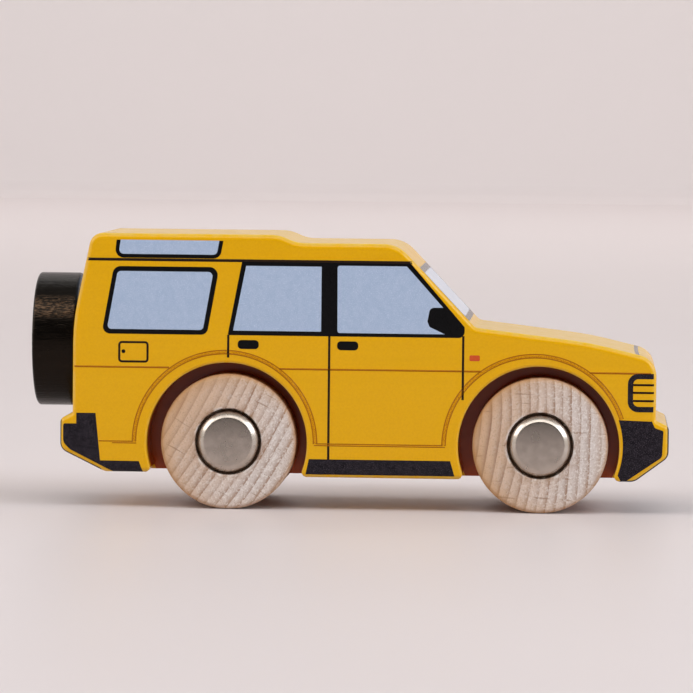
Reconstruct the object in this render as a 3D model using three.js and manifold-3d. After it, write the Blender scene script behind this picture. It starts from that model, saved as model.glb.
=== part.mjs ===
// A wooden toy car: a painted block on two steel axles, four turned wheels and a spare on the tail.
// Millimetres. X runs forward, Y to the car's left, Z up from the ground the wheels stand on.
import * as THREE from 'three';
import { mergeVertices } from 'three/addons/utils/BufferGeometryUtils.js';
import Module from 'manifold-3d';

const wasm = await Module();
wasm.setup();

// Wheels and axles
const WHEELBASE = 57.6;
const WHEEL_DIAMETER = 25;
const WHEEL_THICKNESS = 8.5;
const WHEEL_EDGE_RADIUS = 0.9;
const WHEEL_FACE_SETBACK = 0.2;
const COUNTERBORE_CLEARANCE = 0.55;
const COUNTERBORE_DEPTH = 3.2;
const COUNTERBORE_CHAMFER = 0.3;
const AXLE_DIAMETER = 4;
const AXLE_END_CHAMFER = 0.4;
const RUNNING_CLEARANCE = 0.15;
const END_PLAY = 0.3;

// Pressed steel caps and the star washers inside them
const CAP_DIAMETER = 11.2;
const CAP_PROUD = 0.7;
const CAP_SHOULDER_RADIUS = 1.6;
const CAP_DOME_RISE = 0.12;
const CAP_WALL = 0.45;
const CAP_CROWN_GAP = 0.3;
const WASHER_THICKNESS = 0.4;
const WASHER_RIM_GAP = 0.1;
const WASHER_LIFT = 0.4;
const WASHER_GRIP_GAP = 0.05;
const WASHER_SLOT_WIDTH = 0.8;
const WASHER_TONGUES = 6;

// Block: heights are measured from a base line near its underside, lengths from the nearer axle
const BODY_WIDTH = 34;
const EDGE_RADIUS = 1;
const CORNER_MARGIN = 0.15;
const AXLE_HEIGHT_IN_BODY = 6.05;
const POCKET_CLEARANCE = 2.35;
const POCKET_EDGE_RADIUS = 0.55;
const POCKET_BEHIND_AXLE = 0.3;
const POCKET_BELOW_AXLE = 0.25;
const ARCH_CORNER_RADIUS = 1;
const FLOOR_HEIGHT = -0.35;
const REAR_FLOOR_HEIGHT = 0.2;
const FLOOR_SLOPE_LENGTH = 8;
const FLOOR_SLOPE_RADIUS = 20;
const ROOF_HEIGHT = 44.35;
const ROOF_REAR_RADIUS = 2.5;
const ROOF_STEP_AHEAD = 9;
const ROOF_STEP_LENGTH = 3.4;
const ROOF_STEP_DROP = 1.45;
const ROOF_STEP_RADIUS = 7;
const WINDSCREEN_RAKE_DEG = 46.4;
const WINDSCREEN_TOP_RADIUS = 6;
const COWL_BEHIND = 12.2;
const COWL_HEIGHT = 27.7;
const COWL_RADIUS = 2;
const BONNET_BEND_AHEAD = 8.9;
const BONNET_BEND_HEIGHT = 25.2;
const BONNET_BEND_RADIUS = 60;
const NOSE_HEIGHT = 22.25;
const NOSE_RADIUS = 4;
const FRONT_OVERHANG = 23.6;
const NOSE_SETBACK = 2.4;
const REAR_OVERHANG = 31.2;
const TAIL_SETBACK = 2.25;
const TAIL_BEND_HEIGHT = 28.05;
const TAIL_BEND_RADIUS = 40;
const TAIL_LEAN_DEG = 11.7;

// Bumpers, which are part of the block
const BUMPER_LIP_HEIGHT = 4.25;
const BUMPER_TOP_HEIGHT = 9.9;
const BUMPER_LEDGE_RISE = 1.1;
const BUMPER_LEDGE_RADIUS = 0.5;
const BUMPER_TOP_RADIUS = 1.2;
const BUMPER_LIP_RADIUS = 2;
const UNDERCUT_RADIUS = 2.5;
const FRONT_UNDERCUT_LENGTH = 6.2;
const REAR_UNDERCUT_LENGTH = 8.3;

// Spare wheel and its dowel
const SPARE_DIAMETER = 25;
const SPARE_THICKNESS = 8.1;
const SPARE_EDGE_RADIUS = 0.6;
const SPARE_LEDGE_GAP = 0.35;
const SPARE_WEB = 2.7;
const DOWEL_DIAMETER = 6;
const DOWEL_DEPTH_IN_BODY = 5;
const DOWEL_END_GAP = 0.4;
const DOWEL_CHAMFER = 0.5;
const GLUE_GAP = 0.1;

// Facets
const WHEEL_SEGMENTS = 36;
const ROD_SEGMENTS = 24;
const POCKET_SEGMENTS = 48;
const EDGE_SEGMENTS = 2;
const BLOCK_EDGE_SEGMENTS = 3;
const TONGUE_SEGMENTS = 3;
const ARCH_CORNER_SEGMENTS = 4;
const FILLET_STEP_DEG = 13;

// Places worked out from the sizes above, with X from the rear axle
const wheelRadius = WHEEL_DIAMETER / 2;
const axleRadius = AXLE_DIAMETER / 2;
const boreRadius = axleRadius + RUNNING_CLEARANCE;
const capRadius = CAP_DIAMETER / 2;
const halfWidth = BODY_WIDTH / 2;
const baseLine = wheelRadius - AXLE_HEIGHT_IN_BODY;
const noseX = WHEELBASE + FRONT_OVERHANG - NOSE_SETBACK;
const bumperFrontX = WHEELBASE + FRONT_OVERHANG;
const bumperRearX = -REAR_OVERHANG;
const tailX = TAIL_SETBACK - REAR_OVERHANG;
const ledgeHeight = BUMPER_TOP_HEIGHT + BUMPER_LEDGE_RISE;
const spareHeight = ledgeHeight + SPARE_LEDGE_GAP + SPARE_DIAMETER / 2;
const spareRearX = tailX - GLUE_GAP - SPARE_THICKNESS;
const midX = (Math.min(bumperRearX, spareRearX) + bumperFrontX) / 2;
const dowelHoleRadius = DOWEL_DIAMETER / 2 + GLUE_GAP;
const dowelHoleInSpare = SPARE_THICKNESS - SPARE_WEB;
const dowelFrontX = tailX + DOWEL_DEPTH_IN_BODY;
const dowelRearX = tailX - GLUE_GAP - dowelHoleInSpare + DOWEL_END_GAP;

// Places across the car, outward from its middle
const wheelOuterY = halfWidth - WHEEL_FACE_SETBACK;
const wheelInnerY = wheelOuterY - WHEEL_THICKNESS;
const pocketFloorY = wheelInnerY - END_PLAY;
const capRimY = wheelOuterY - COUNTERBORE_DEPTH + END_PLAY;
const capTopY = halfWidth + CAP_PROUD;
const axleEndY = capTopY - CAP_DOME_RISE - CAP_WALL - CAP_CROWN_GAP;

// Colours, roughness and metalness of the finishes
const YELLOW_PAINT = { color: 0xd89e18, roughness: 0.45, metalness: 0 };
const BLACK_PAINT = { color: 0x26242a, roughness: 0.55, metalness: 0 };
const BEECH = { color: 0xd9b98c, roughness: 0.7, metalness: 0 };
const STEEL = { color: 0xb4b2ae, roughness: 0.3, metalness: 1 };

// One arc of points round a corner, from one angle to another, both in degrees
function arc(x, y, radius, fromDeg, toDeg, segments = EDGE_SEGMENTS) {
  const points = [];
  for (let i = 0; i <= segments; i += 1) {
    const angle = THREE.MathUtils.degToRad(fromDeg + ((toDeg - fromDeg) * i) / segments);
    points.push(new THREE.Vector2(x + radius * Math.cos(angle), y + radius * Math.sin(angle)));
  }
  return points;
}

// A closed outline through the given corners, each replaced by an arc of its own radius.
// An outer corner's arc is no tighter than the edge rounding that follows it, and every arc ends by the
// middle of each side.
function roundedShape(corners) {
  const points = [];
  corners.forEach((corner, i) => {
    const here = new THREE.Vector2(corner.x, corner.z);
    const before = corners.at(i - 1);
    const after = corners[(i + 1) % corners.length];
    const back = new THREE.Vector2(before.x, before.z).sub(here);
    const ahead = new THREE.Vector2(after.x, after.z).sub(here);
    const room = Math.min(back.length(), ahead.length()) / 2;
    back.normalize();
    ahead.normalize();
    const turn = Math.PI - Math.acos(THREE.MathUtils.clamp(back.dot(ahead), -1, 1));
    const least = back.cross(ahead) < 0 ? EDGE_RADIUS + CORNER_MARGIN : 0;
    const wanted = Math.max(corner.radius, least);
    const reach = Math.min(wanted * Math.tan(turn / 2), room);
    const radius = reach / Math.tan(turn / 2);
    const inward = back.clone().add(ahead).normalize();
    const centre = here.clone().addScaledVector(inward, radius / Math.cos(turn / 2));
    const start = here.clone().addScaledVector(back, reach).sub(centre);
    const end = here.clone().addScaledVector(ahead, reach).sub(centre);
    const sweep = Math.atan2(start.cross(end), start.dot(end));
    const steps = Math.max(2, Math.ceil(THREE.MathUtils.radToDeg(turn) / FILLET_STEP_DEG));
    for (let k = 0; k <= steps; k += 1) {
      const spoke = start.clone().rotateAround(new THREE.Vector2(), (sweep * k) / steps);
      points.push(centre.clone().add(spoke));
    }
  });
  return new THREE.Shape(points);
}

// Booleans: a geometry becomes a solid, and a solid a geometry
function toSolid(geometry) {
  const bare = geometry.clone();
  bare.deleteAttribute('normal');
  bare.deleteAttribute('uv');
  const merged = mergeVertices(bare, 1e-4);
  const vertProperties = new Float32Array(merged.attributes.position.array);
  const triVerts = new Uint32Array(merged.index.array);
  return new wasm.Manifold(new wasm.Mesh({ numProp: 3, vertProperties, triVerts }));
}

function toGeometry(solid) {
  const mesh = solid.getMesh();
  const geometry = new THREE.BufferGeometry();
  geometry.setAttribute('position', new THREE.BufferAttribute(mesh.vertProperties, 3));
  geometry.setIndex(new THREE.BufferAttribute(mesh.triVerts, 1));
  geometry.computeVertexNormals();
  return geometry;
}

// A turned piece about Y, from its half section
function turned(profile, segments = WHEEL_SEGMENTS) {
  return new THREE.LatheGeometry(profile, segments);
}

// A plain rod along Y with chamfered ends, centred on the origin
function rod(radius, length, chamfer) {
  const half = length / 2;
  return turned([
    new THREE.Vector2(0, -half),
    new THREE.Vector2(radius - chamfer, -half),
    new THREE.Vector2(radius, chamfer - half),
    new THREE.Vector2(radius, half - chamfer),
    new THREE.Vector2(radius - chamfer, half),
    new THREE.Vector2(0, half),
  ], ROD_SEGMENTS);
}

// The block's side outline, anticlockwise as seen from the car's right
function bodyShape() {
  const roofFront = ROOF_HEIGHT - ROOF_STEP_DROP;
  const cowlX = WHEELBASE - COWL_BEHIND;
  const rake = THREE.MathUtils.degToRad(WINDSCREEN_RAKE_DEG);
  const lean = THREE.MathUtils.degToRad(TAIL_LEAN_DEG);
  const windscreenTopX = cowlX - (roofFront - COWL_HEIGHT) / Math.tan(rake);
  const roofRearX = tailX + (ROOF_HEIGHT - TAIL_BEND_HEIGHT) * Math.tan(lean);
  return roundedShape([
    { x: bumperRearX + REAR_UNDERCUT_LENGTH, z: REAR_FLOOR_HEIGHT, radius: UNDERCUT_RADIUS },
    { x: -FLOOR_SLOPE_LENGTH / 2, z: REAR_FLOOR_HEIGHT, radius: FLOOR_SLOPE_RADIUS },
    { x: FLOOR_SLOPE_LENGTH / 2, z: FLOOR_HEIGHT, radius: FLOOR_SLOPE_RADIUS },
    { x: bumperFrontX - FRONT_UNDERCUT_LENGTH, z: FLOOR_HEIGHT, radius: UNDERCUT_RADIUS },
    { x: bumperFrontX, z: BUMPER_LIP_HEIGHT, radius: BUMPER_LIP_RADIUS },
    { x: bumperFrontX, z: BUMPER_TOP_HEIGHT, radius: BUMPER_TOP_RADIUS },
    { x: noseX, z: ledgeHeight, radius: BUMPER_LEDGE_RADIUS },
    { x: noseX, z: NOSE_HEIGHT, radius: NOSE_RADIUS },
    { x: WHEELBASE + BONNET_BEND_AHEAD, z: BONNET_BEND_HEIGHT, radius: BONNET_BEND_RADIUS },
    { x: cowlX, z: COWL_HEIGHT, radius: COWL_RADIUS },
    { x: windscreenTopX, z: roofFront, radius: WINDSCREEN_TOP_RADIUS },
    { x: ROOF_STEP_AHEAD + ROOF_STEP_LENGTH, z: roofFront, radius: ROOF_STEP_RADIUS },
    { x: ROOF_STEP_AHEAD, z: ROOF_HEIGHT, radius: ROOF_STEP_RADIUS },
    { x: roofRearX, z: ROOF_HEIGHT, radius: ROOF_REAR_RADIUS },
    { x: tailX, z: TAIL_BEND_HEIGHT, radius: TAIL_BEND_RADIUS },
    { x: tailX, z: ledgeHeight, radius: BUMPER_LEDGE_RADIUS },
    { x: bumperRearX, z: BUMPER_TOP_HEIGHT, radius: BUMPER_TOP_RADIUS },
    { x: bumperRearX, z: BUMPER_LIP_HEIGHT, radius: BUMPER_LIP_RADIUS },
  ]);
}

// The cutter for one wheel pocket: a drum that flares at the side face, so the mouth is rounded
function pocketCutter() {
  const radius = wheelRadius + POCKET_CLEARANCE;
  const edge = POCKET_EDGE_RADIUS;
  const outside = halfWidth + edge;
  return turned([
    new THREE.Vector2(0, pocketFloorY),
    new THREE.Vector2(radius, pocketFloorY),
    ...arc(radius + edge, halfWidth - edge, edge, 180, 90, BLOCK_EDGE_SEGMENTS),
    new THREE.Vector2(radius + edge, outside),
    new THREE.Vector2(0, outside),
  ], POCKET_SEGMENTS);
}

// The cutter that rounds the corner between a pocket's wall and the floor ahead of it (1) or behind it (-1)
function archCornerCutter(pocketX, pocketZ, way, floor) {
  const wall = wheelRadius + POCKET_CLEARANCE;
  const outside = halfWidth + EDGE_RADIUS;
  const z = floor + ARCH_CORNER_RADIUS;
  const reach = Math.sqrt((wall + ARCH_CORNER_RADIUS) ** 2 - (pocketZ - z) ** 2);
  const x = pocketX + way * reach;
  const lean = THREE.MathUtils.radToDeg(Math.asin((pocketZ - z) / (wall + ARCH_CORNER_RADIUS)));
  const round = way > 0
    ? arc(x, z, ARCH_CORNER_RADIUS, 270, 180 - lean, ARCH_CORNER_SEGMENTS)
    : arc(x, z, ARCH_CORNER_RADIUS, -90, lean, ARCH_CORNER_SEGMENTS);
  const inside = new THREE.Vector2(pocketX, pocketZ).lerp(round.at(-1), 0.9);
  const corner = new THREE.Shape([
    new THREE.Vector2(x, floor - EDGE_RADIUS),
    ...round,
    inside,
    new THREE.Vector2(inside.x, floor - EDGE_RADIUS),
  ]);
  const cutter = new THREE.ExtrudeGeometry(corner, { depth: outside - pocketFloorY, bevelEnabled: false });
  cutter.rotateX(Math.PI / 2);
  return cutter;
}

// The painted block, sawn to its outline, with pockets, axle bores and the dowel hole cut out
function bodyBlock() {
  const block = new THREE.ExtrudeGeometry(bodyShape(), {
    depth: BODY_WIDTH - 2 * EDGE_RADIUS,
    bevelEnabled: true,
    bevelThickness: EDGE_RADIUS,
    bevelSize: EDGE_RADIUS,
    bevelOffset: -EDGE_RADIUS,
    bevelSegments: BLOCK_EDGE_SEGMENTS,
    curveSegments: 1,
  });
  block.translate(0, 0, EDGE_RADIUS - halfWidth);
  block.rotateX(Math.PI / 2);
  let solid = toSolid(block);
  for (const [axleX, floorBehind] of [[0, REAR_FLOOR_HEIGHT], [WHEELBASE, FLOOR_HEIGHT]]) {
    const pocketX = axleX - POCKET_BEHIND_AXLE;
    const pocketZ = AXLE_HEIGHT_IN_BODY - POCKET_BELOW_AXLE;
    for (const turn of [0, Math.PI]) {
      const pocket = pocketCutter();
      pocket.rotateZ(turn);
      pocket.translate(pocketX, 0, pocketZ);
      solid = solid.subtract(toSolid(pocket));
      for (const [way, floor] of [[1, FLOOR_HEIGHT], [-1, floorBehind]]) {
        const corner = archCornerCutter(pocketX, pocketZ, way, floor);
        corner.translate(0, turn === 0 ? halfWidth + EDGE_RADIUS : -pocketFloorY, 0);
        solid = solid.subtract(toSolid(corner));
      }
    }
    const bore = rod(boreRadius, BODY_WIDTH, 0);
    bore.translate(axleX, 0, AXLE_HEIGHT_IN_BODY);
    solid = solid.subtract(toSolid(bore));
  }
  const dowelHole = rod(dowelHoleRadius, 2 * (DOWEL_DEPTH_IN_BODY + DOWEL_END_GAP), 0);
  dowelHole.rotateZ(Math.PI / 2);
  dowelHole.translate(tailX, 0, spareHeight);
  return toGeometry(solid.subtract(toSolid(dowelHole)));
}

// A road wheel about Y, from its inner face at 0 to its outer face, recessed for the cap
function roadWheel() {
  const edge = WHEEL_EDGE_RADIUS;
  const recess = capRadius + COUNTERBORE_CLEARANCE;
  const floor = WHEEL_THICKNESS - COUNTERBORE_DEPTH;
  const profile = [
    new THREE.Vector2(boreRadius, 0),
    ...arc(wheelRadius - edge, edge, edge, -90, 0),
    ...arc(wheelRadius - edge, WHEEL_THICKNESS - edge, edge, 0, 90),
    new THREE.Vector2(recess + COUNTERBORE_CHAMFER, WHEEL_THICKNESS),
    new THREE.Vector2(recess, WHEEL_THICKNESS - COUNTERBORE_CHAMFER),
    new THREE.Vector2(recess, floor),
    new THREE.Vector2(boreRadius, floor),
    new THREE.Vector2(boreRadius, 0),
  ];
  return turned(profile);
}

// A pressed cap about Y, open towards the wheel, with its rim at 0 and a crown that is slightly domed
function hubCap() {
  const height = capTopY - capRimY;
  const shoulder = CAP_SHOULDER_RADIUS;
  const inner = Math.max(shoulder - CAP_WALL, CAP_WALL / 2);
  const wallRadius = capRadius - CAP_WALL;
  const crest = capRadius - shoulder;
  const crestHeight = height - CAP_DOME_RISE;
  const roof = crestHeight - CAP_WALL;
  return turned([
    new THREE.Vector2(0, roof),
    ...arc(wallRadius - inner, roof - inner, inner, 90, 0),
    new THREE.Vector2(wallRadius, 0),
    new THREE.Vector2(capRadius, 0),
    ...arc(crest, crestHeight - shoulder, shoulder, 0, 90),
    new THREE.Vector2(crest / 2, height - CAP_DOME_RISE / 4),
    new THREE.Vector2(0, height),
  ]);
}

// The sprung star washer that grips the axle inside a cap: slots leave tongues round the hole
function starWasher() {
  const rim = capRadius - CAP_WALL - WASHER_RIM_GAP;
  const tip = axleRadius + WASHER_GRIP_GAP;
  const slotEnd = (tip + rim) / 2;
  const tongueTurn = 360 / WASHER_TONGUES;
  const slotHalfTurn = (radius) => THREE.MathUtils.radToDeg(Math.asin(WASHER_SLOT_WIDTH / 2 / radius));
  const tongueHalf = tongueTurn / 2 - slotHalfTurn(tip);
  const chord = tip / Math.cos(THREE.MathUtils.degToRad(tongueHalf / TONGUE_SEGMENTS));
  const hole = [];
  for (let i = 0; i < WASHER_TONGUES; i += 1) {
    const tongue = i * tongueTurn;
    const slot = tongue + tongueTurn / 2;
    const slotHalf = slotHalfTurn(slotEnd);
    hole.push(...arc(0, 0, chord, tongue - tongueHalf, tongue + tongueHalf, TONGUE_SEGMENTS));
    hole.push(...arc(0, 0, slotEnd, slot - slotHalf, slot + slotHalf, 1));
  }
  const shape = new THREE.Shape(arc(0, 0, rim, 0, 360, WHEEL_SEGMENTS).slice(1));
  shape.holes.push(new THREE.Path(hole));
  const washer = new THREE.ExtrudeGeometry(shape, { depth: WASHER_THICKNESS, bevelEnabled: false });
  washer.rotateX(-Math.PI / 2);
  return washer;
}

// The spare wheel: a plain disc about X, flat against the tail, with a blind hole for the dowel
function spareWheel() {
  const radius = SPARE_DIAMETER / 2;
  const edge = SPARE_EDGE_RADIUS;
  const disc = turned([
    new THREE.Vector2(0, dowelHoleInSpare),
    new THREE.Vector2(dowelHoleRadius, dowelHoleInSpare),
    new THREE.Vector2(dowelHoleRadius, 0),
    ...arc(radius - edge, edge, edge, -90, 0),
    ...arc(radius - edge, SPARE_THICKNESS - edge, edge, 0, 90),
    new THREE.Vector2(0, SPARE_THICKNESS),
  ]);
  disc.rotateZ(Math.PI / 2);
  return disc;
}

// A named piece with its own finish
function piece(name, geometry, finish) {
  const mesh = new THREE.Mesh(geometry, new THREE.MeshStandardMaterial(finish));
  mesh.name = name;
  return mesh;
}

// One axle with its two wheels, caps and star washers
function axleSet(end, axleX) {
  const set = new THREE.Group();
  set.position.set(axleX, 0, wheelRadius);
  set.add(piece(`${end}_axle`, rod(axleRadius, 2 * axleEndY, AXLE_END_CHAMFER), STEEL));
  for (const [side, turn] of [['left', 0], ['right', Math.PI]]) {
    const hub = new THREE.Group();
    hub.rotation.z = turn;
    const wheel = piece(`wheel_${end}_${side}`, roadWheel(), BEECH);
    const cap = piece(`hub_cap_${end}_${side}`, hubCap(), STEEL);
    const washer = piece(`star_washer_${end}_${side}`, starWasher(), STEEL);
    wheel.position.y = wheelInnerY;
    cap.position.y = capRimY;
    washer.position.y = capRimY + WASHER_LIFT;
    hub.add(wheel, cap, washer);
    set.add(hub);
  }
  return set;
}

const car = new THREE.Group();
car.position.x = -midX;

const body = piece('body_block', bodyBlock(), YELLOW_PAINT);
body.position.z = baseLine;

const spare = piece('spare_wheel', spareWheel(), BLACK_PAINT);
spare.position.set(tailX - GLUE_GAP, 0, baseLine + spareHeight);

const dowelRod = rod(DOWEL_DIAMETER / 2, dowelFrontX - dowelRearX, DOWEL_CHAMFER);
const dowel = piece('spare_wheel_dowel', dowelRod, BEECH);
dowel.rotation.z = Math.PI / 2;
dowel.position.set((dowelFrontX + dowelRearX) / 2, 0, baseLine + spareHeight);

car.add(body, spare, dowel, axleSet('rear', 0), axleSet('front', WHEELBASE));

export default car;
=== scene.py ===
# %% [markdown]
# # A painted wooden toy car
# The real toy is one block of wood, sawn to the outline of an off-road car, sprayed yellow and printed
# with windows, doors and bumpers. Four turned wheels roll on two steel axles, and a black disc of wood is
# the spare. The CAD frame gives every piece its size and place. This lesson dresses it for a close look.

# %% Load the fixed frame
import math

import bmesh
import bpy
from mathutils import Matrix, Quaternion, Vector
from mathutils.bvhtree import BVHTree
from mathutils.geometry import tessellate_polygon


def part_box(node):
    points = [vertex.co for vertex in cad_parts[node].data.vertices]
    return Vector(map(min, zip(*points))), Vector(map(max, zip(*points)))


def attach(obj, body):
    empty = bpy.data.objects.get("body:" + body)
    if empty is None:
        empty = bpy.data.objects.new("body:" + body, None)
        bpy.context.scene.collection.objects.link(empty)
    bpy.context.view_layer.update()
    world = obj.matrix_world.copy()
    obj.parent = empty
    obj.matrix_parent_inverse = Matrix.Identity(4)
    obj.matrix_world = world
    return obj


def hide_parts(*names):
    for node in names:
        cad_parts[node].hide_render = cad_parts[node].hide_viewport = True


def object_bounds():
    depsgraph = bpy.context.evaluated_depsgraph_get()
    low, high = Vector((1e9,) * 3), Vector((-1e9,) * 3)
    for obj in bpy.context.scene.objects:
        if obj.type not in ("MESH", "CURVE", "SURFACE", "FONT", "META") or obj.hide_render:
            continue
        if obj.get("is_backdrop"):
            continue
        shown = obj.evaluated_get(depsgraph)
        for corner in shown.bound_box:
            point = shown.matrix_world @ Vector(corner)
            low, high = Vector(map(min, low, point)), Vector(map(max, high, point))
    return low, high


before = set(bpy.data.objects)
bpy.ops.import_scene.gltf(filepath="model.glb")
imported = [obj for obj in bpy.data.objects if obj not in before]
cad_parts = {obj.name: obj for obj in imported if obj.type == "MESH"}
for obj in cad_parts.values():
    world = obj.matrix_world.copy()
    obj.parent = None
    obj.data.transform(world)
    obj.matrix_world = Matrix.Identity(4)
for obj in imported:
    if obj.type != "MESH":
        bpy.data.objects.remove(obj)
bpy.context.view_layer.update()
scene = bpy.context.scene
scene.view_settings.view_transform = "Standard"

# %% [markdown]
# ## Measure from the frame
# Everything on the car is placed in millimetres forward of the rear axle and up from the ground, because
# that is how one would measure the toy on a bench. The axles, wheels and the block's box come from the
# frame, so a piece made here always lands on the CAD part that carries it.

# %% Places taken from the frame
MM = 0.001


def middle_of(node):
    low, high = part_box(node)
    return (low + high) / 2


rear_axle = middle_of("rear_axle")
front_axle = middle_of("front_axle")
block_low, block_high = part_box("body_block")
half_width = block_high.y / MM
wheelbase = (front_axle.x - rear_axle.x) / MM
bumper_front = (block_high.x - rear_axle.x) / MM
bumper_rear = (block_low.x - rear_axle.x) / MM
roof = block_high.z / MM
axle_height = rear_axle.z / MM
AXLE_UP = 6.05
base_line = axle_height - AXLE_UP


def on_car(x, y, z):
    """A point in the frame, from millimetres ahead of the rear axle, left of the middle and above ground."""
    return Vector((rear_axle.x + x * MM, y * MM, z * MM))


print(f"wheelbase {wheelbase:.1f} mm, block {bumper_front - bumper_rear:.1f} by {2 * half_width:.1f} mm")

# %% [markdown]
# ## The camera
# A long lens from nearly side on, a little ahead of the car's middle and above its roof line, as in the
# photograph. A focal length in pixels is turned into millimetres by the sensor's share of the image.

# %% Camera at the photograph's angle
PHOTO_PIXELS = 693
FOCAL_PIXELS = 4438
CAMERA_FROM_REAR_AXLE = (65.96, -832.0, 74.3)
LOOKS_AT = (21.75, -17.0, 30.4)
CAMERA_ROLL_DEG = 0.58

lens = bpy.data.cameras.new("photo_camera")
lens.sensor_width = 36
lens.lens = lens.sensor_width * FOCAL_PIXELS / PHOTO_PIXELS
camera = bpy.data.objects.new("photo_camera", lens)
camera.location = on_car(*CAMERA_FROM_REAR_AXLE)
aim = (on_car(*LOOKS_AT) - camera.location).to_track_quat("-Z", "Y")
camera.rotation_mode = "QUATERNION"
camera.rotation_quaternion = aim @ Quaternion((0, 0, 1), math.radians(CAMERA_ROLL_DEG))
scene.collection.objects.link(camera)
scene.camera = camera
print(f"lens {lens.lens:.0f} mm, {(on_car(*LOOKS_AT) - camera.location).length:.3f} m away")

# %% [markdown]
# ## Node helpers
# Materials and Geometry Nodes are both trees of nodes. One helper adds a node, sets its options and feeds
# its inputs, where an input is either a value or the socket of an earlier node.

# %% Helpers for node trees


def add(tree, kind, inputs=None, **options):
    """A new node. Inputs are values, or sockets of other nodes to link."""
    node = tree.nodes.new(kind)
    for name, value in options.items():
        setattr(node, name, value)
    for name, value in (inputs or {}).items():
        if isinstance(value, bpy.types.NodeSocket):
            tree.links.new(value, node.inputs[name])
        else:
            node.inputs[name].default_value = value
    return node


def math_node(tree, operation, *values):
    return add(tree, "ShaderNodeMath", dict(enumerate(values)), operation=operation).outputs[0]


def product(tree, first, *others):
    """Values multiplied together."""
    for other in others:
        first = math_node(tree, "MULTIPLY", first, other)
    return first


def split(tree, vector):
    """A vector's X, Y and Z."""
    return add(tree, "ShaderNodeSeparateXYZ", {0: vector}).outputs


def mix_colour(tree, factor, first, second):
    node = add(tree, "ShaderNodeMix", {0: factor, 6: first, 7: second}, data_type="RGBA")
    return node.outputs[2]


def ramp(tree, value, low, high, to_low=0.0, to_high=1.0):
    """A value between low and high, stretched to between to_low and to_high, and held there."""
    inputs = {0: value, 1: low, 2: high, 3: to_low, 4: to_high}
    return add(tree, "ShaderNodeMapRange", inputs).outputs[0]


def millimetres(tree, centre=(0, 0, 0), turn=(0, 0, 0), stretch=(1, 1, 1)):
    """Object coordinates in millimetres from a centre, turned and stretched for a pattern."""
    place = add(tree, "ShaderNodeTexCoord").outputs["Object"]
    shift = add(tree, "ShaderNodeVectorMath", {0: place, 1: centre}, operation="SUBTRACT").outputs[0]
    scale = [s / MM for s in stretch]
    turned = add(tree, "ShaderNodeMapping", {"Vector": shift, "Rotation": turn}).outputs[0]
    return add(tree, "ShaderNodeVectorMath", {0: turned, 1: scale}, operation="MULTIPLY").outputs[0]


def noise(tree, vector, scale, detail=2.0, roughness=0.5):
    inputs = {"Vector": vector, "Scale": scale, "Detail": detail, "Roughness": roughness}
    return add(tree, "ShaderNodeTexNoise", inputs).outputs["Fac"]


def finish_material(name):
    """A new material, with its tree and its shader node."""
    material = bpy.data.materials.new(name)
    material.use_nodes = True
    tree = material.node_tree
    return material, tree, tree.nodes["Principled BSDF"]


def clear_coat(shader, weight, roughness, ior=1.3):
    """A thin varnish that hardly shows from the front and turns pale when seen along the surface."""
    shader.inputs["Coat Weight"].default_value = weight
    shader.inputs["Coat Roughness"].default_value = roughness
    shader.inputs["Coat IOR"].default_value = ior


def bump(tree, shader, height, depth_mm, strength=1.0):
    inputs = {"Height": height, "Distance": depth_mm * MM, "Strength": strength}
    node = add(tree, "ShaderNodeBump", inputs)
    tree.links.new(node.outputs["Normal"], shader.inputs["Normal"])


print("helpers for", add.__name__ + ",", ramp.__name__ + ",", noise.__name__, "and", bump.__name__)

# %% [markdown]
# ## Floor, backdrop and light
# A pale table runs back to a pale wall, and large soft lights do the rest. Most of the light comes from
# high in front, so the shadow falls behind the car. A cooler light at the right works like a window. It
# hangs high enough that the roof does not mirror it when the car is seen from behind. A small panel at the
# left gives the bright metal something to mirror, and the far floor and the wall have a light of their own.

# %% Floor and backdrop
FLOOR_FRONT = -3500.0
FLOOR_BACK = 2650.0
FLOOR_HALF = 2500.0
COVE_RADIUS = 15.0
WALL_TOP = 2200.0
COVE_STEPS = 16
PALER_FROM = 400.0


def make_backdrop():
    section = [(FLOOR_FRONT, 0.0)]
    for step in range(COVE_STEPS + 1):
        angle = math.radians(90 * step / COVE_STEPS)
        y = FLOOR_BACK + COVE_RADIUS * math.sin(angle)
        section.append((y, COVE_RADIUS * (1 - math.cos(angle))))
    section.append((FLOOR_BACK + COVE_RADIUS, WALL_TOP))
    mesh = bpy.data.meshes.new("backdrop")
    verts = [(side * FLOOR_HALF * MM, y * MM, z * MM) for y, z in section for side in (-1, 1)]
    faces = [(2 * i, 2 * i + 1, 2 * i + 3, 2 * i + 2) for i in range(len(section) - 1)]
    mesh.from_pydata(verts, [], faces)
    mesh.polygons.foreach_set("use_smooth", [True] * len(faces))
    backdrop = bpy.data.objects.new("backdrop", mesh)
    scene.collection.objects.link(backdrop)
    backdrop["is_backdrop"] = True
    return backdrop


def backdrop_finish():
    material, tree, shader = finish_material("pale_table")
    place = millimetres(tree)
    cloud = noise(tree, place, 0.01, 3.0)
    table = mix_colour(tree, cloud, (0.675, 0.61, 0.606, 1), (0.695, 0.63, 0.626, 1))
    parts = split(tree, place)
    # Painted light: the table is painted paler towards the back, where the lamps leave it dim.
    far = ramp(tree, parts["Y"], PALER_FROM, FLOOR_BACK)
    table = mix_colour(tree, far, table, (0.765, 0.695, 0.69, 1))
    wall = ramp(tree, parts["Z"], 0.5 * COVE_RADIUS, COVE_RADIUS)
    colour = mix_colour(tree, wall, table, (0.875, 0.82, 0.815, 1))
    tree.links.new(colour, shader.inputs["Base Color"])
    shader.inputs["Roughness"].default_value = 0.42
    shader.inputs["Specular IOR Level"].default_value = 0.25
    return material


backdrop = make_backdrop()
backdrop.data.materials.append(backdrop_finish())
print("backdrop of", len(backdrop.data.polygons), "faces")

# %% Soft studio lights


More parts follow.
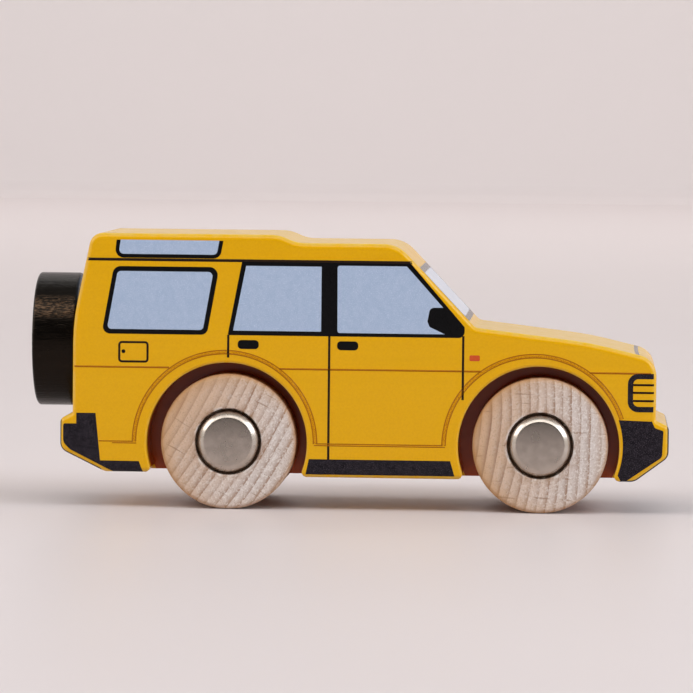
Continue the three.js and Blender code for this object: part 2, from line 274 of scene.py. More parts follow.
def soft_light(name, place, target, size, watts, colour, spread_deg=180):
    data = bpy.data.lights.new(name, "AREA")
    data.shape = "RECTANGLE"
    data.size = size[0] * MM
    data.size_y = size[1] * MM
    data.energy = watts
    data.color = colour
    data.spread = math.radians(spread_deg)
    light = bpy.data.objects.new(name, data)
    light.location = Vector(place) * MM
    light.rotation_mode = "QUATERNION"
    light.rotation_quaternion = (Vector(target) * MM - light.location).to_track_quat("-Z", "Y")
    scene.collection.objects.link(light)
    return light


CAR_MIDDLE = (0.0, 0.0, 25.0)
FAR_FLOOR = (0.0, 1950.0, 0.0)
FAR_SPREAD_DEG = 130
soft_light("overhead", (0, 300, 2100), CAR_MIDDLE, (2600, 1800), 4.5, (1.0, 0.99, 0.975))
soft_light("high_front", (0, -1000, 1600), CAR_MIDDLE, (2600, 900), 15.5, (1.0, 0.98, 0.965))
soft_light("window", (1150, -380, 740), CAR_MIDDLE, (1100, 700), 9.8, (0.82, 0.91, 1.0))
soft_light("left_panel", (-1150, -330, 800), CAR_MIDDLE, (800, 700), 6.0, (1.0, 0.985, 0.97))
soft_light(
    "far_overhead", (0, 1800, 1900), FAR_FLOOR, (3200, 1200), 16.0, (1.0, 0.99, 0.985), FAR_SPREAD_DEG
)
print("five soft lights")

# %% [markdown]
# The air around the set stands for the rest of the room. It is dim in front and behind, and brighter at both
# sides, where the rounded ends of the car and the caps pick it up.

# %% The air around the set
DIM_AIR = 0.07
BRIGHT_AIR = 0.9
DIM_UNTIL = 0.35
BRIGHT_FROM = 0.85
world = bpy.data.worlds.new("studio_air")
world.use_nodes = True
air = world.node_tree
direction = add(air, "ShaderNodeTexCoord").outputs["Generated"]
sideways = math_node(air, "ABSOLUTE", split(air, direction)["X"])
sky = air.nodes["Background"]
sky.inputs["Color"].default_value = (0.96, 0.92, 0.89, 1)
strength = ramp(air, sideways, DIM_UNTIL, BRIGHT_FROM, DIM_AIR, BRIGHT_AIR)
air.links.new(strength, sky.inputs["Strength"])
scene.world = world
print(f"air from {DIM_AIR} to {BRIGHT_AIR}")

# %% [markdown]
# ## Finishes
# Each finish is worked out in millimetres on Object coordinates, so it is the same size on every piece.
# Paint over wood shows three things close up: a faint long grain, a fine orange peel from the spray gun
# and slightly thinner, paler colour where an edge has been rounded. That paler colour is in part painted
# shade too, which tones down the highlight on the rounded edges. The top is tinted a little duller by
# which way the surface faces: a painted shade.

# %% Where the paint is thin, and where shade is painted
EDGE_RADIUS = 1.0
POCKET_RADIUS = 14.85
POCKET_BEHIND_AXLE = 0.3
POCKET_BELOW_AXLE = 0.25
POCKET_MARGIN = 0.1
SHADE_FADES_FROM = 1.0
SHADE_FADES_TO = 3.5
WORN_AND_SHADED_CREST = 0.3
WORN_AND_SHADED_END = 0.02


def edge_share(tree, place):
    """1 along the middle of the block's rounded side edges and 0 on its flats, from the distance across."""
    y = split(tree, place)["Y"]
    across = math_node(tree, "ABSOLUTE", y)
    crest = half_width - WORN_AND_SHADED_CREST * EDGE_RADIUS
    rise = ramp(tree, across, half_width - EDGE_RADIUS, crest)
    fall = ramp(tree, across, crest, half_width - WORN_AND_SHADED_END * EDGE_RADIUS, 1.0, 0.0)
    return product(tree, rise, fall)


def painted_pocket_shade(tree, place):
    """1 deep inside the wheel pockets, where a painted shade darkens the paint, and 0 outside them."""
    parts = split(tree, place)
    middle = (rear_axle.x + front_axle.x) / 2 / MM - POCKET_BEHIND_AXLE
    from_middle = math_node(tree, "SUBTRACT", parts["X"], middle)
    from_axle = math_node(tree, "SUBTRACT", math_node(tree, "ABSOLUTE", from_middle), wheelbase / 2)
    from_height = math_node(tree, "SUBTRACT", parts["Z"], axle_height - POCKET_BELOW_AXLE)
    away = add(tree, "ShaderNodeCombineXYZ", {"X": from_axle, "Y": from_height}).outputs[0]
    radius = add(tree, "ShaderNodeVectorMath", {0: away}, operation="LENGTH").outputs["Value"]
    inside = math_node(tree, "LESS_THAN", radius, POCKET_RADIUS + POCKET_MARGIN)
    across = math_node(tree, "ABSOLUTE", parts["Y"])
    deep = ramp(tree, across, half_width - SHADE_FADES_TO, half_width - SHADE_FADES_FROM, 1.0, 0.0)
    return product(tree, inside, deep)


print(f"worn edges of {EDGE_RADIUS} mm, pockets of {POCKET_RADIUS} mm")

# %% Yellow paint over wood


def yellow_paint():
    material, tree, shader = finish_material("yellow_paint_on_wood")
    place = millimetres(tree)
    grain = noise(tree, millimetres(tree, stretch=(0.05, 0.7, 0.7)), 1.0, 5.0, 0.6)
    cloud = noise(tree, place, 0.06, 3.0)
    peel = noise(tree, place, 2.6, 2.0)
    body = mix_colour(tree, ramp(tree, grain, 0.3, 0.7), (0.80, 0.42, 0.0005, 1), (0.84, 0.45, 0.001, 1))
    shade = mix_colour(tree, ramp(tree, cloud, 0.35, 0.65), body, (0.83, 0.435, 0.0005, 1))
    shade = mix_colour(tree, ramp(tree, peel, 0.40, 0.66, 0.0, 0.5), shade, (0.76, 0.375, 0.0005, 1))
    # Rounded edges paler: thinner paint, and in part painted shade that tones down their highlight.
    thin = product(tree, edge_share(tree, place), ramp(tree, noise(tree, place, 0.8), 0.3, 0.6), 0.6)
    up = split(tree, add(tree, "ShaderNodeNewGeometry").outputs["Normal"])["Z"]
    # Painted shade: surfaces that face up are tinted duller.
    shade = mix_colour(tree, ramp(tree, up, 0.5, 0.95, 0.0, 0.8), shade, (0.69, 0.43, 0.003, 1))
    colour = mix_colour(tree, thin, shade, (0.72, 0.50, 0.12, 1))
    # Painted shade: the paint deep in the wheel pockets is darkened to a red-brown.
    colour = mix_colour(tree, painted_pocket_shade(tree, place), colour, (0.43, 0.065, 0.0005, 1))
    tree.links.new(colour, shader.inputs["Base Color"])
    gloss = ramp(tree, noise(tree, place, 0.4, 3.0), 0.3, 0.7, 0.36, 0.46)
    tree.links.new(gloss, shader.inputs["Roughness"])
    shader.inputs["Specular IOR Level"].default_value = 0.03
    clear_coat(shader, 0.62, 0.14, 1.45)
    relief = math_node(tree, "ADD", product(tree, grain, 1.5), peel)
    bump(tree, shader, relief, 0.012, 0.5)
    return material


YELLOW = yellow_paint()
print("made", YELLOW.name)

# %% [markdown]
# The spare's black paint is thin: the pores of the wood print through it. A band along the upper shoulder
# of its rim is a painted highlight, fine brown specks where the front light's reflection falls. The band
# is a range of heights on Object coordinates, and the surface normal keeps it off the flat face.

# %% Black paint over wood, for the spare wheel
HIGHLIGHT_FROM = 4.2
HIGHLIGHT_FULL = (5.5, 7.0)
HIGHLIGHT_TO = 8.8


def painted_rim_highlight(tree, place, scratches):
    """The share of painted highlight, as brown specks, along the upper part of the spare's rim."""
    rise = split(tree, place)["Z"]
    height = math_node(tree, "SUBTRACT", rise, middle_of("spare_wheel").z / MM)
    below = ramp(tree, height, HIGHLIGHT_FROM, HIGHLIGHT_FULL[0])
    above = ramp(tree, height, HIGHLIGHT_FULL[1], HIGHLIGHT_TO, 1.0, 0.0)
    normal = add(tree, "ShaderNodeNewGeometry").outputs["Normal"]
    facing = split(tree, normal)["X"]
    rim = ramp(tree, math_node(tree, "ABSOLUTE", facing), 0.3, 0.6, 1.0, 0.0)
    return product(tree, below, above, rim, scratches)


def black_paint():
    material, tree, shader = finish_material("black_paint_on_wood")
    place = millimetres(tree)
    streak = noise(tree, millimetres(tree, stretch=(0.10, 1.1, 1.1)), 1.0, 5.0, 0.65)
    pores = noise(tree, millimetres(tree, stretch=(1.2, 4.6, 4.6)), 1.0, 2.0)
    deep = ramp(tree, streak, 0.42, 0.62)
    colour = mix_colour(tree, deep, (0.001, 0.001, 0.001, 1), (0.0035, 0.003, 0.0026, 1))
    worn = product(tree, ramp(tree, noise(tree, place, 1.6), 0.66, 0.74), 0.35)
    colour = mix_colour(tree, worn, colour, (0.02, 0.015, 0.011, 1))
    scratches = ramp(tree, pores, 0.45, 0.68, 0.0, 0.8)
    # Painted highlight: brown specks on the rim's upper shoulder stand for the light's reflection.
    colour = mix_colour(tree, painted_rim_highlight(tree, place, scratches), colour, (0.19, 0.115, 0.066, 1))
    tree.links.new(colour, shader.inputs["Base Color"])
    gloss = ramp(tree, streak, 0.35, 0.65, 0.14, 0.26)
    tree.links.new(gloss, shader.inputs["Roughness"])
    shader.inputs["Specular IOR Level"].default_value = 0.2
    shader.inputs["Specular Tint"].default_value = (1.0, 0.76, 0.58, 1)
    relief = math_node(tree, "ADD", streak, product(tree, pores, 0.6))
    bump(tree, shader, relief, 0.08, 1.0)
    return material


BLACK = black_paint()
print("made", BLACK.name)

# %% [markdown]
# ## Printing inks
# The print sits on the paint as a thin film. Close up it is not even: a fine speckle shows where the ink
# did not wet the surface. The same function makes every ink from its main colour and its speckle colour.

# %% A film of ink


def ink(name, colour, speck, speck_share, roughness, varnish=0.6):
    material, tree, shader = finish_material(name)
    place = millimetres(tree)
    fine = noise(tree, place, 6.0, 1.0)
    coarse = noise(tree, place, 1.1, 2.0)
    spots = ramp(tree, fine, 0.54, 0.70, 0.0, speck_share)
    drift = ramp(tree, coarse, 0.35, 0.65, 0.0, speck_share * 0.2)
    amount = math_node(tree, "ADD", spots, drift)
    tree.links.new(mix_colour(tree, amount, colour, speck), shader.inputs["Base Color"])
    gloss = ramp(tree, fine, 0.3, 0.7, roughness - 0.05, roughness + 0.08)
    tree.links.new(gloss, shader.inputs["Roughness"])
    shader.inputs["Specular IOR Level"].default_value = 0.03
    clear_coat(shader, varnish, 0.16)
    bump(tree, shader, fine, 0.004, 0.4)
    return material


print("films of", ink.__name__, "take a colour, a speckle and a varnish")

# %% The ten inks
SOOT = (0.001, 0.001, 0.0015, 1)
SOOT_SPECK = (0.008, 0.0075, 0.009, 1)
BLACK_INK = ink("black_ink", SOOT, SOOT_SPECK, 0.5, 0.50)
END_INK = ink("black_end_ink", SOOT, SOOT_SPECK, 0.5, 0.50, varnish=0.9)
LINE_INK = ink("line_ink", (0.016, 0.006, 0.0008, 1), (0.035, 0.017, 0.003, 1), 0.5, 0.50)
BUMPER_INK = ink("bumper_ink", (0.007, 0.0055, 0.009, 1), (0.07, 0.056, 0.072, 1), 0.7, 0.55)
GLASS_INK = ink("pale_glass_ink", (0.39, 0.50, 0.685, 1), (0.60, 0.68, 0.85, 1), 0.8, 0.45)
SCREEN_INK = ink("windscreen_ink", (0.56, 0.63, 0.76, 1), (0.68, 0.73, 0.84, 1), 0.8, 0.40, varnish=0.9)
CREASE_INK = ink("crease_ink", (0.40, 0.125, 0.0005, 1), (0.62, 0.26, 0.0005, 1), 0.5, 0.45)
TINT_INK = ink("flare_tint_ink", (0.69, 0.31, 0.0008, 1), (0.78, 0.39, 0.0008, 1), 0.5, 0.45)
LAMP_INK = ink("lamp_ink", (0.62, 0.085, 0.022, 1), (0.74, 0.16, 0.04, 1), 0.5, 0.42)
HEADLAMP_INK = ink("headlamp_ink", (0.72, 0.74, 0.76, 1), (0.84, 0.85, 0.86, 1), 0.6, 0.40)
print("ten inks")

# %% [markdown]
# ## Bare turned wood
# The wheels are sliced from a round rod, so their faces show end grain: growth rings that are nearly
# straight across so small a disc, thin rays square to them and fine open pores. The pattern is solid, so
# it runs on down the rim as long streaks. Each wheel was cut from another place, so each has its own turn.

# %% Growth rings
RING_SPACING = 1.75
RING_WARP = 3.2
RING_BOW = 0.006


def stretched(tree, vector, scale, shift=0.0):
    """A pattern's place, scaled on each axis and shifted so that no two wheels match."""
    inputs = {0: vector, 1: scale, 2: (shift, shift, shift)}
    return add(tree, "ShaderNodeVectorMath", inputs, operation="MULTIPLY_ADD").outputs[0]


def growth_rings(tree, place, offset):
    """How dark the wood is across its rings: slowly darker through a year, then pale again at once."""
    parts = split(tree, place)
    drift = noise(tree, stretched(tree, place, (0.07, 0.01, 0.03), offset), 1.0, 2.0)
    warp = product(tree, math_node(tree, "SUBTRACT", drift, 0.5), RING_WARP)
    bow = product(tree, parts["Z"], parts["Z"], RING_BOW)
    across = math_node(tree, "ADD", math_node(tree, "ADD", parts["X"], warp), bow)
    growth = math_node(tree, "ADD", math_node(tree, "DIVIDE", across, RING_SPACING), offset)
    year = math_node(tree, "FRACT", growth)
    number = math_node(tree, "FLOOR", growth)
    chance = add(tree, "ShaderNodeTexWhiteNoise", {"W": number}, noise_dimensions="1D").outputs["Value"]
    rise = math_node(tree, "POWER", ramp(tree, year, 0.05, 0.90), 2.4)
    fall = ramp(tree, year, 0.91, 0.99, 1.0, 0.0)
    strength = ramp(tree, chance, 0.0, 1.0, 0.5, 1.0)
    return product(tree, rise, fall, strength)


print(f"rings {RING_SPACING} mm apart")

# %% [markdown]
# The lathe and the drill leave marks on the face: the rim is burnished brown, and the lip of the recess is
# stained in places and torn to pale fibres in others. The rim's brown is in part painted warm shade,
# heavier on the side away from the light, and the recess is darkened as painted shade.

# %% Marks of turning and boring, with painted shade
RIM_BURNISH_AND_SHADE_FROM = 9.8
RIM_BURNISH_AND_SHADE_TO = 12.3
RIM_EDGE = (11.7, 12.4)
RECESS_RADIUS = 6.15
STAIN_REACH = (0.3, 1.7)
TORN_REACH = (0.05, 0.5)
RECESS_BLEND = (-0.02, 0.03)


def tint(tree, wood, share, most, colour):
    """Wood changed towards a colour, by a share of at most so much."""
    return mix_colour(tree, product(tree, share, most), wood, colour)


def turned_edges(tree, wood, parts, patchy, pale):
    """Turning marks and painted shade: a burnished, shaded rim, a stained, torn lip and a shaded recess."""
    flat = add(tree, "ShaderNodeCombineXYZ", {"X": parts["X"], "Y": parts["Z"]}).outputs[0]
    radius = add(tree, "ShaderNodeVectorMath", {0: flat}, operation="LENGTH").outputs["Value"]
    blotch = ramp(tree, patchy, 0.25, 0.6, 0.35, 1.0)
    # Partly painted warm shade: the brown rim is heavier away from the lit side, and its edge is browned all
    # round.
    near_rim = ramp(tree, radius, RIM_BURNISH_AND_SHADE_FROM, RIM_BURNISH_AND_SHADE_TO)
    wide = product(tree, near_rim, blotch, ramp(tree, pale, 0.2, 1.0, 1.0, 0.35))
    wood = tint(tree, wood, wide, 0.55, (0.53, 0.27, 0.085, 1))
    wood = tint(tree, wood, ramp(tree, radius, *RIM_EDGE), 0.55, (0.46, 0.23, 0.08, 1))
    lip = math_node(tree, "SUBTRACT", radius, RECESS_RADIUS)
    stain = product(tree, ramp(tree, lip, *STAIN_REACH, 1.0, 0.0), ramp(tree, patchy, 0.42, 0.62))
    wood = tint(tree, wood, stain, 0.55, (0.40, 0.225, 0.12, 1))
    torn = product(tree, ramp(tree, lip, *TORN_REACH, 1.0, 0.0), ramp(tree, patchy, 0.40, 0.52, 1.0, 0.0))
    wood = tint(tree, wood, torn, 0.85, (0.90, 0.85, 0.80, 1))
    # Painted shade: the recess is darkened, where little light reaches.
    return mix_colour(tree, ramp(tree, lip, *RECESS_BLEND, 0.8, 0.0), wood, (0.36, 0.19, 0.10, 1))


print(f"burnished beyond {RIM_BURNISH_AND_SHADE_FROM} mm, recess of {RECESS_RADIUS} mm")

# %% [markdown]
# Rings, rays, pores and torn fluff are laid over each other on a base that runs from brown to pale across
# the face: partly the wood's own tone, partly painted light, pale on the side the window lights on the
# right-hand wheels. The rings stand out a little and the pores are pits, so the same shares drive the bump.

# %% Beech end grain


def end_grain(name, centre, lean_deg, offset):
    material, tree, shader = finish_material(name)
    place = millimetres(tree, centre, (0, math.radians(lean_deg), 0))
    parts = split(tree, place)
    patchy = noise(tree, stretched(tree, place, (0.75, 0.05, 0.3), offset), 1.0, 4.0, 0.65)
    late = product(tree, growth_rings(tree, place, offset), ramp(tree, patchy, 0.3, 0.6, 0.6, 1.0))
    across = noise(tree, stretched(tree, place, (0.16, 0.02, 1.9), offset), 1.0, 1.0)
    rays = ramp(tree, across, 0.68, 0.72)
    pores = noise(tree, stretched(tree, place, (4.2, 0.4, 4.2), offset), 1.0, 2.0)
    dots = ramp(tree, pores, 0.54, 0.68)
    tufts = noise(tree, stretched(tree, place, (3.0, 0.4, 2.2), offset + 7.0), 1.0, 2.0)
    fluff = ramp(tree, tufts, 0.52, 0.64)
    # Partly painted light: the face pales towards the side the window lights, and the fluff keeps to it.
    side = math_node(tree, "ADD", parts["X"], product(tree, patchy, 8.0))
    pale = ramp(tree, side, -6.0, 11.0)
    wood = mix_colour(tree, pale, (0.68, 0.47, 0.32, 1), (0.72, 0.645, 0.605, 1))
    wood = tint(tree, wood, late, 1.0, (0.30, 0.155, 0.085, 1))
    wood = tint(tree, wood, rays, 0.55, (0.30, 0.17, 0.10, 1))
    wood = tint(tree, wood, dots, 0.5, (0.42, 0.27, 0.175, 1))
    wood = tint(tree, wood, product(tree, fluff, pale), 0.6, (0.88, 0.83, 0.79, 1))
    wood = turned_edges(tree, wood, parts, patchy, pale)
    tree.links.new(wood, shader.inputs["Base Color"])
    shader.inputs["Roughness"].default_value = 0.62
    shader.inputs["Specular IOR Level"].default_value = 0.25
    ridges = product(tree, late, 0.4)
    pits = product(tree, math_node(tree, "ADD", dots, rays), 0.6)
    bump(tree, shader, math_node(tree, "SUBTRACT", ridges, pits), 0.05, 0.6)
    return material


def fibre_finish():
    material, tree, shader = finish_material("pale_wood_fibre")
    tone = noise(tree, millimetres(tree), 3.0)
    colour = mix_colour(tree, tone, (0.74, 0.62, 0.48, 1), (0.86, 0.77, 0.64, 1))
    tree.links.new(colour, shader.inputs["Base Color"])
    shader.inputs["Roughness"].default_value = 0.8
    return material


FIBRE = fibre_finish()
print("end grain is made for each wheel, and", FIBRE.name)

# %% [markdown]
# ## Metals
# The caps are pressed and nickel plated, the axles and washers are plain drawn steel. Both are a little hazy
# and finely scratched: the scratches are stretched along the rod on steel, and even on nickel.

# %% Nickel and drawn steel
DULLER = 0.86


def metal(name, colour, roughness, scratch_stretch):
    material, tree, shader = finish_material(name)
    place = millimetres(tree)
    scratches = noise(tree, millimetres(tree, stretch=scratch_stretch), 1.0, 4.0, 0.6)
    haze = noise(tree, place, 0.5, 3.0)
    dull = tuple(DULLER * c for c in colour[:3]) + (1,)
    tone = mix_colour(tree, ramp(tree, haze, 0.35, 0.7), colour, dull)
    tree.links.new(tone, shader.inputs["Base Color"])
    shader.inputs["Metallic"].default_value = 1.0
    gloss = ramp(tree, haze, 0.3, 0.7, roughness - 0.04, roughness + 0.04)
    tree.links.new(gloss, shader.inputs["Roughness"])
    bump(tree, shader, scratches, 0.0008, 0.5)
    return material


NICKEL = metal("satin_nickel", (0.54, 0.475, 0.415, 1), 0.25, (3.0, 3.0, 3.0))
STEEL = metal("drawn_steel", (0.56, 0.55, 0.54, 1), 0.34, (3.0, 0.1, 3.0))
print("two metals")

# %% [markdown]
# ## Outlines with rounded corners
# The block and most of the print are outlines whose corners are arcs. One function walks the corners and
# puts an arc of the asked radius in each. It also gives the outward direction at every point, which is
# what is needed to round the block's side edges: the outline moves inwards by the right amount.

# %% Rounded outlines


def round_corners(corners, step_deg=6.0):
    """Points and outward directions of a closed outline given anticlockwise as (x, z, radius) corners."""
    points = []
    for before, here, after in zip(corners[-1:] + corners[:-1], corners, corners[1:] + corners[:1]):
        corner = Vector(here[:2])
        back = (Vector(before[:2]) - corner).normalized()
        ahead = (Vector(after[:2]) - corner).normalized()
        turn = math.pi - back.angle(ahead)
        sign = 1.0 if ahead.x * back.y - ahead.y * back.x > 0 else -1.0
        radius = max(here[2], 1e-4)
        inward = (back + ahead).normalized()
        centre = corner + inward * (radius / math.cos(turn / 2))
        spoke = corner + back * (radius * math.tan(turn / 2)) - centre
        steps = max(1, math.ceil(math.degrees(turn) / step_deg)) if radius > 0.01 else 1
        for k in range(steps + 1):
            arm = Matrix.Rotation(sign * turn * k / steps, 2) @ spoke
            points.append((centre + arm, arm.normalized() * sign))
    return points


def loop_of(corners, step_deg=12.0):
    return [point for point, _ in round_corners(corners, step_deg)]


def rectangle(x0, x1, z0, z1, radius):
    return [(x0, z0, radius), (x1, z0, radius), (x1, z1, radius), (x0, z1, radius)]


print("a square with round corners has", len(loop_of(rectangle(0, 10, 0, 10, 2))), "points")

# %% [markdown]
# ## Small mesh tools
# A modifier's result is turned into a plain mesh before it rides on a body. Smooth shading with sharp
# edges kept, and normals weighted by face area, lets the flat sides stay flat beside their rounded edges.

# %% Mesh tools
SMOOTH_DEG = 38.0


def new_object(name, mesh, *materials):
    piece = bpy.data.objects.new(name, mesh)
    scene.collection.objects.link(piece)
    for material in materials:
        mesh.materials.append(material)
    return piece


def apply_modifiers(piece):
    """Replaces a piece's data by the plain mesh that its modifiers give, and removes them."""
    graph = bpy.context.evaluated_depsgraph_get()
    mesh = bpy.data.meshes.new_from_object(piece.evaluated_get(graph), depsgraph=graph)
    name = piece.name
    if piece.type == "MESH":
        piece.modifiers.clear()
        piece.data = mesh
        return piece
    bpy.data.objects.remove(piece)
    mesh.name = name
    return new_object(name, mesh)


def close_mesh(mesh):
    """Merges doubled points and turns every face outwards."""
    work = bmesh.new()
    work.from_mesh(mesh)
    bmesh.ops.remove_doubles(work, verts=work.verts, dist=1e-8)
    bmesh.ops.recalc_face_normals(work, faces=work.faces)
    work.to_mesh(mesh)
    work.free()


def smooth(piece):
    mesh = piece.data
    mesh.polygons.foreach_set("use_smooth", [True] * len(mesh.polygons))
    mesh.set_sharp_from_angle(angle=math.radians(SMOOTH_DEG))
    weigh = piece.modifiers.new("even_shading", "WEIGHTED_NORMAL")
    weigh.keep_sharp = True
    return apply_modifiers(piece)


print(f"edges over {SMOOTH_DEG} degrees stay sharp")

# %% [markdown]
# ## Turned pieces with Geometry Nodes
# Wheels, caps, axles and the spare are turned: one half section swept once round an axis. Curve to Mesh
# does that when the path is a circle. The tree has named inputs for the circle, the facets, the place and
# the finish, so one tree makes every turned piece on the car, and the wheel pockets' cutters too.

# %% A tree that turns a half section


def new_tree(name, inputs):
    tree = bpy.data.node_groups.new(name, "GeometryNodeTree")
    tree.interface.new_socket("Geometry", in_out="INPUT", socket_type="NodeSocketGeometry")
    for label, kind in inputs:
        tree.interface.new_socket(label, in_out="INPUT", socket_type="NodeSocket" + kind)
    tree.interface.new_socket("Geometry", in_out="OUTPUT", socket_type="NodeSocketGeometry")
    return tree, tree.nodes.new("NodeGroupInput"), tree.nodes.new("NodeGroupOutput")


def end_tree(tree, outlet, geometry, finish):
    real = add(tree, "GeometryNodeRealizeInstances", {"Geometry": geometry}).outputs[0]
    painted = add(tree, "GeometryNodeSetMaterial", {"Geometry": real, "Material": finish}).outputs[0]
    tree.links.new(painted, outlet.inputs[0])


def turning_tree():
    inputs = [("Circle radius", "Float"), ("Facets", "Int"), ("Place", "Vector")]
    inputs += [("Turn", "Vector"), ("Finish", "Material")]
    tree, inlet, outlet = new_tree("turned_piece", inputs)
    ask = inlet.outputs
    ring = {"Resolution": ask["Facets"], "Radius": ask["Circle radius"]}
    circle = add(tree, "GeometryNodeCurvePrimitiveCircle", ring)
    sweep = {"Curve": circle.outputs["Curve"], "Profile Curve": ask["Geometry"]}
    swept = add(tree, "GeometryNodeCurveToMesh", sweep)
    turn = add(tree, "FunctionNodeEulerToRotation", {0: ask["Turn"]}).outputs[0]
    move = {"Geometry": swept.outputs[0], "Translation": ask["Place"], "Rotation": turn}
    placed = add(tree, "GeometryNodeTransform", move)
    end_tree(tree, outlet, placed.outputs[0], ask["Finish"])
    return tree


TURNED = turning_tree()
print("tree", TURNED.name, "with", len(TURNED.nodes), "nodes")

# %% [markdown]
# The tree gets its half section as a curve and its sizes as inputs of a modifier. The modifier's result is
# kept as a plain mesh. The sweep's own circle has a small radius, which is taken off the section first.

# %% Turning a piece


def set_inputs(modifier, **values):
    """Sets a Geometry Nodes modifier's inputs by their names, through each socket's identifier."""
    for item in modifier.node_group.interface.items_tree:
        key = item.name.lower().replace(" ", "_")
        if item.in_out == "INPUT" and key in values:
            modifier[item.identifier] = values[key]


def curve_of(name, loops, closed):
    curve = bpy.data.curves.new(name, "CURVE")
    curve.dimensions = "2D"
    curve.fill_mode = "NONE"
    for loop in loops:
        spline = curve.splines.new("POLY")
        spline.points.add(len(loop) - 1)
        for point, place in zip(spline.points, loop):
            point.co = (place[0] * MM, place[1] * MM, 0, 1)
        spline.use_cyclic_u = closed
    piece = bpy.data.objects.new(name, curve)
    scene.collection.objects.link(piece)
    return piece


TO_LEFT = (math.radians(90), 0, 0)
TO_RIGHT = (math.radians(90), 0, math.pi)
TO_REAR = (math.radians(90), 0, math.radians(90))
AXIS_RADIUS = 0.5
POCKET_FACETS = 160
ROD_FACETS = 64
CAP_FACETS = 128
WHEEL_FACETS = 192


def turned(name, profile, place, turn, finish, facets, closed=True):
    """A piece turned from (radius, distance along the axis) points in millimetres."""
    section = [(radius - AXIS_RADIUS, along) for radius, along in profile]
    piece = curve_of(name, [section], closed)
    modifier = piece.modifiers.new("turn", "NODES")
    modifier.node_group = TURNED
    circle_radius = AXIS_RADIUS * MM
    set_inputs(modifier, circle_radius=circle_radius, facets=facets, place=place, turn=turn, finish=finish)
    piece = apply_modifiers(piece)
    close_mesh(piece.data)
    return piece


def arc(x, y, radius, from_deg, to_deg, steps=8):
    points = []
    for k in range(steps + 1):
        angle = math.radians(from_deg + (to_deg - from_deg) * k / steps)
        points.append((x + radius * math.cos(angle), y + radius * math.sin(angle)))
    return points


print(f"turned pieces have {ROD_FACETS} to {WHEEL_FACETS} facets")

# %% [markdown]
# ## The block
# The block is sawn from a plank and its edges are rounded with a router. It could be extruded and
# bevelled, but a bevel on an outline with inner corners is fragile, so the rounded edge is built as rings:
# each ring is the outline moved inwards a little as it nears the side. Wheel pockets, axle bores and the
# hole for the spare's dowel are then cut with an exact boolean, and small prisms round the corners where a
# pocket meets the floor.

# %% The block's outline
ROOF_STEP_AHEAD = 9.0
ROOF_STEP_LENGTH = 3.4
ROOF_STEP_DROP = 1.45
COWL_BEHIND_FRONT_AXLE = 12.2
COWL_UP = 27.7
WINDSCREEN_RAKE_DEG = 46.4
BONNET_BEND_AHEAD = 8.9
BONNET_BEND_UP = 25.2
NOSE_SETBACK = 2.4
NOSE_UP = 22.25
TAIL_SETBACK = 2.25
TAIL_BEND_UP = 28.05
TAIL_LEAN_DEG = 11.7
BUMPER_LIP_UP = 4.25
BUMPER_TOP_UP = 9.9
BUMPER_LEDGE_UP = 11.0
FRONT_UNDERCUT = 6.2
REAR_UNDERCUT = 8.3
FLOOR_UP = -0.35
REAR_FLOOR_UP = 0.2
FLOOR_SLOPE = 8.0

nose = bumper_front - NOSE_SETBACK
tail = bumper_rear + TAIL_SETBACK
cowl = (wheelbase - COWL_BEHIND_FRONT_AXLE, base_line + COWL_UP)
front_roof = roof - ROOF_STEP_DROP
screen_slope = math.tan(math.radians(WINDSCREEN_RAKE_DEG))
screen_top = cowl[0] - (front_roof - cowl[1]) / screen_slope
tail_top = tail + (roof - base_line - TAIL_BEND_UP) * math.tan(math.radians(TAIL_LEAN_DEG))
ledge = base_line + BUMPER_LEDGE_UP
floor = base_line + FLOOR_UP
rear_floor = base_line + REAR_FLOOR_UP

BLOCK_CORNERS = [
    (bumper_rear + REAR_UNDERCUT, rear_floor, 2.5),
    (-FLOOR_SLOPE / 2, rear_floor, 20.0),
    (FLOOR_SLOPE / 2, floor, 20.0),
    (bumper_front - FRONT_UNDERCUT, floor, 2.5),
    (bumper_front, base_line + BUMPER_LIP_UP, 2.0),
    (bumper_front, base_line + BUMPER_TOP_UP, 1.2),
    (nose, ledge, 0.5),
    (nose, base_line + NOSE_UP, 4.0),
    (wheelbase + BONNET_BEND_AHEAD, base_line + BONNET_BEND_UP, 60.0),
    (*cowl, 2.0),
    (screen_top, front_roof, 6.0),
    (ROOF_STEP_AHEAD + ROOF_STEP_LENGTH, front_roof, 7.0),
    (ROOF_STEP_AHEAD, roof, 7.0),
    (tail_top, roof, 2.5),
    (tail, base_line + TAIL_BEND_UP, 40.0),
    (tail, ledge, 0.5),
    (bumper_rear, base_line + BUMPER_TOP_UP, 1.2),
    (bumper_rear, base_line + BUMPER_LIP_UP, 2.0),
]
OUTLINE_STEP_DEG = 4.0
block_outline = round_corners(BLOCK_CORNERS, OUTLINE_STEP_DEG)
print(f"outline of {len(block_outline)} points")

# %% The sawn and rounded block
EDGE_STEPS = 8


def block_mesh():
    rings = []
    for side in (-1, 1):
        for k in range(EDGE_STEPS + 1):
            angle = math.radians(90 * (k if side < 0 else EDGE_STEPS - k) / EDGE_STEPS)
            inset = EDGE_RADIUS * (1 - math.sin(angle))
            y = side * (half_width - EDGE_RADIUS * (1 - math.cos(angle)))
            rings.append([on_car(p.x - n.x * inset, y, p.y - n.y * inset) for p, n in block_outline])
    count = len(block_outline)
    faces = [list(range(count)), [(len(rings) - 1) * count + i for i in reversed(range(count))]]
    for ring in range(len(rings) - 1):
        for i in range(count):
            j = (i + 1) % count
            here, beyond = ring * count, (ring + 1) * count
            faces.append([here + j, here + i, beyond + i, beyond + j])
    mesh = bpy.data.meshes.new("painted_block")
    mesh.from_pydata([v for ring in rings for v in ring], [], faces)
    close_mesh(mesh)
    return mesh


block = new_object("painted_block", block_mesh(), YELLOW)
print(f"uncut block of {len(block.data.polygons)} faces")

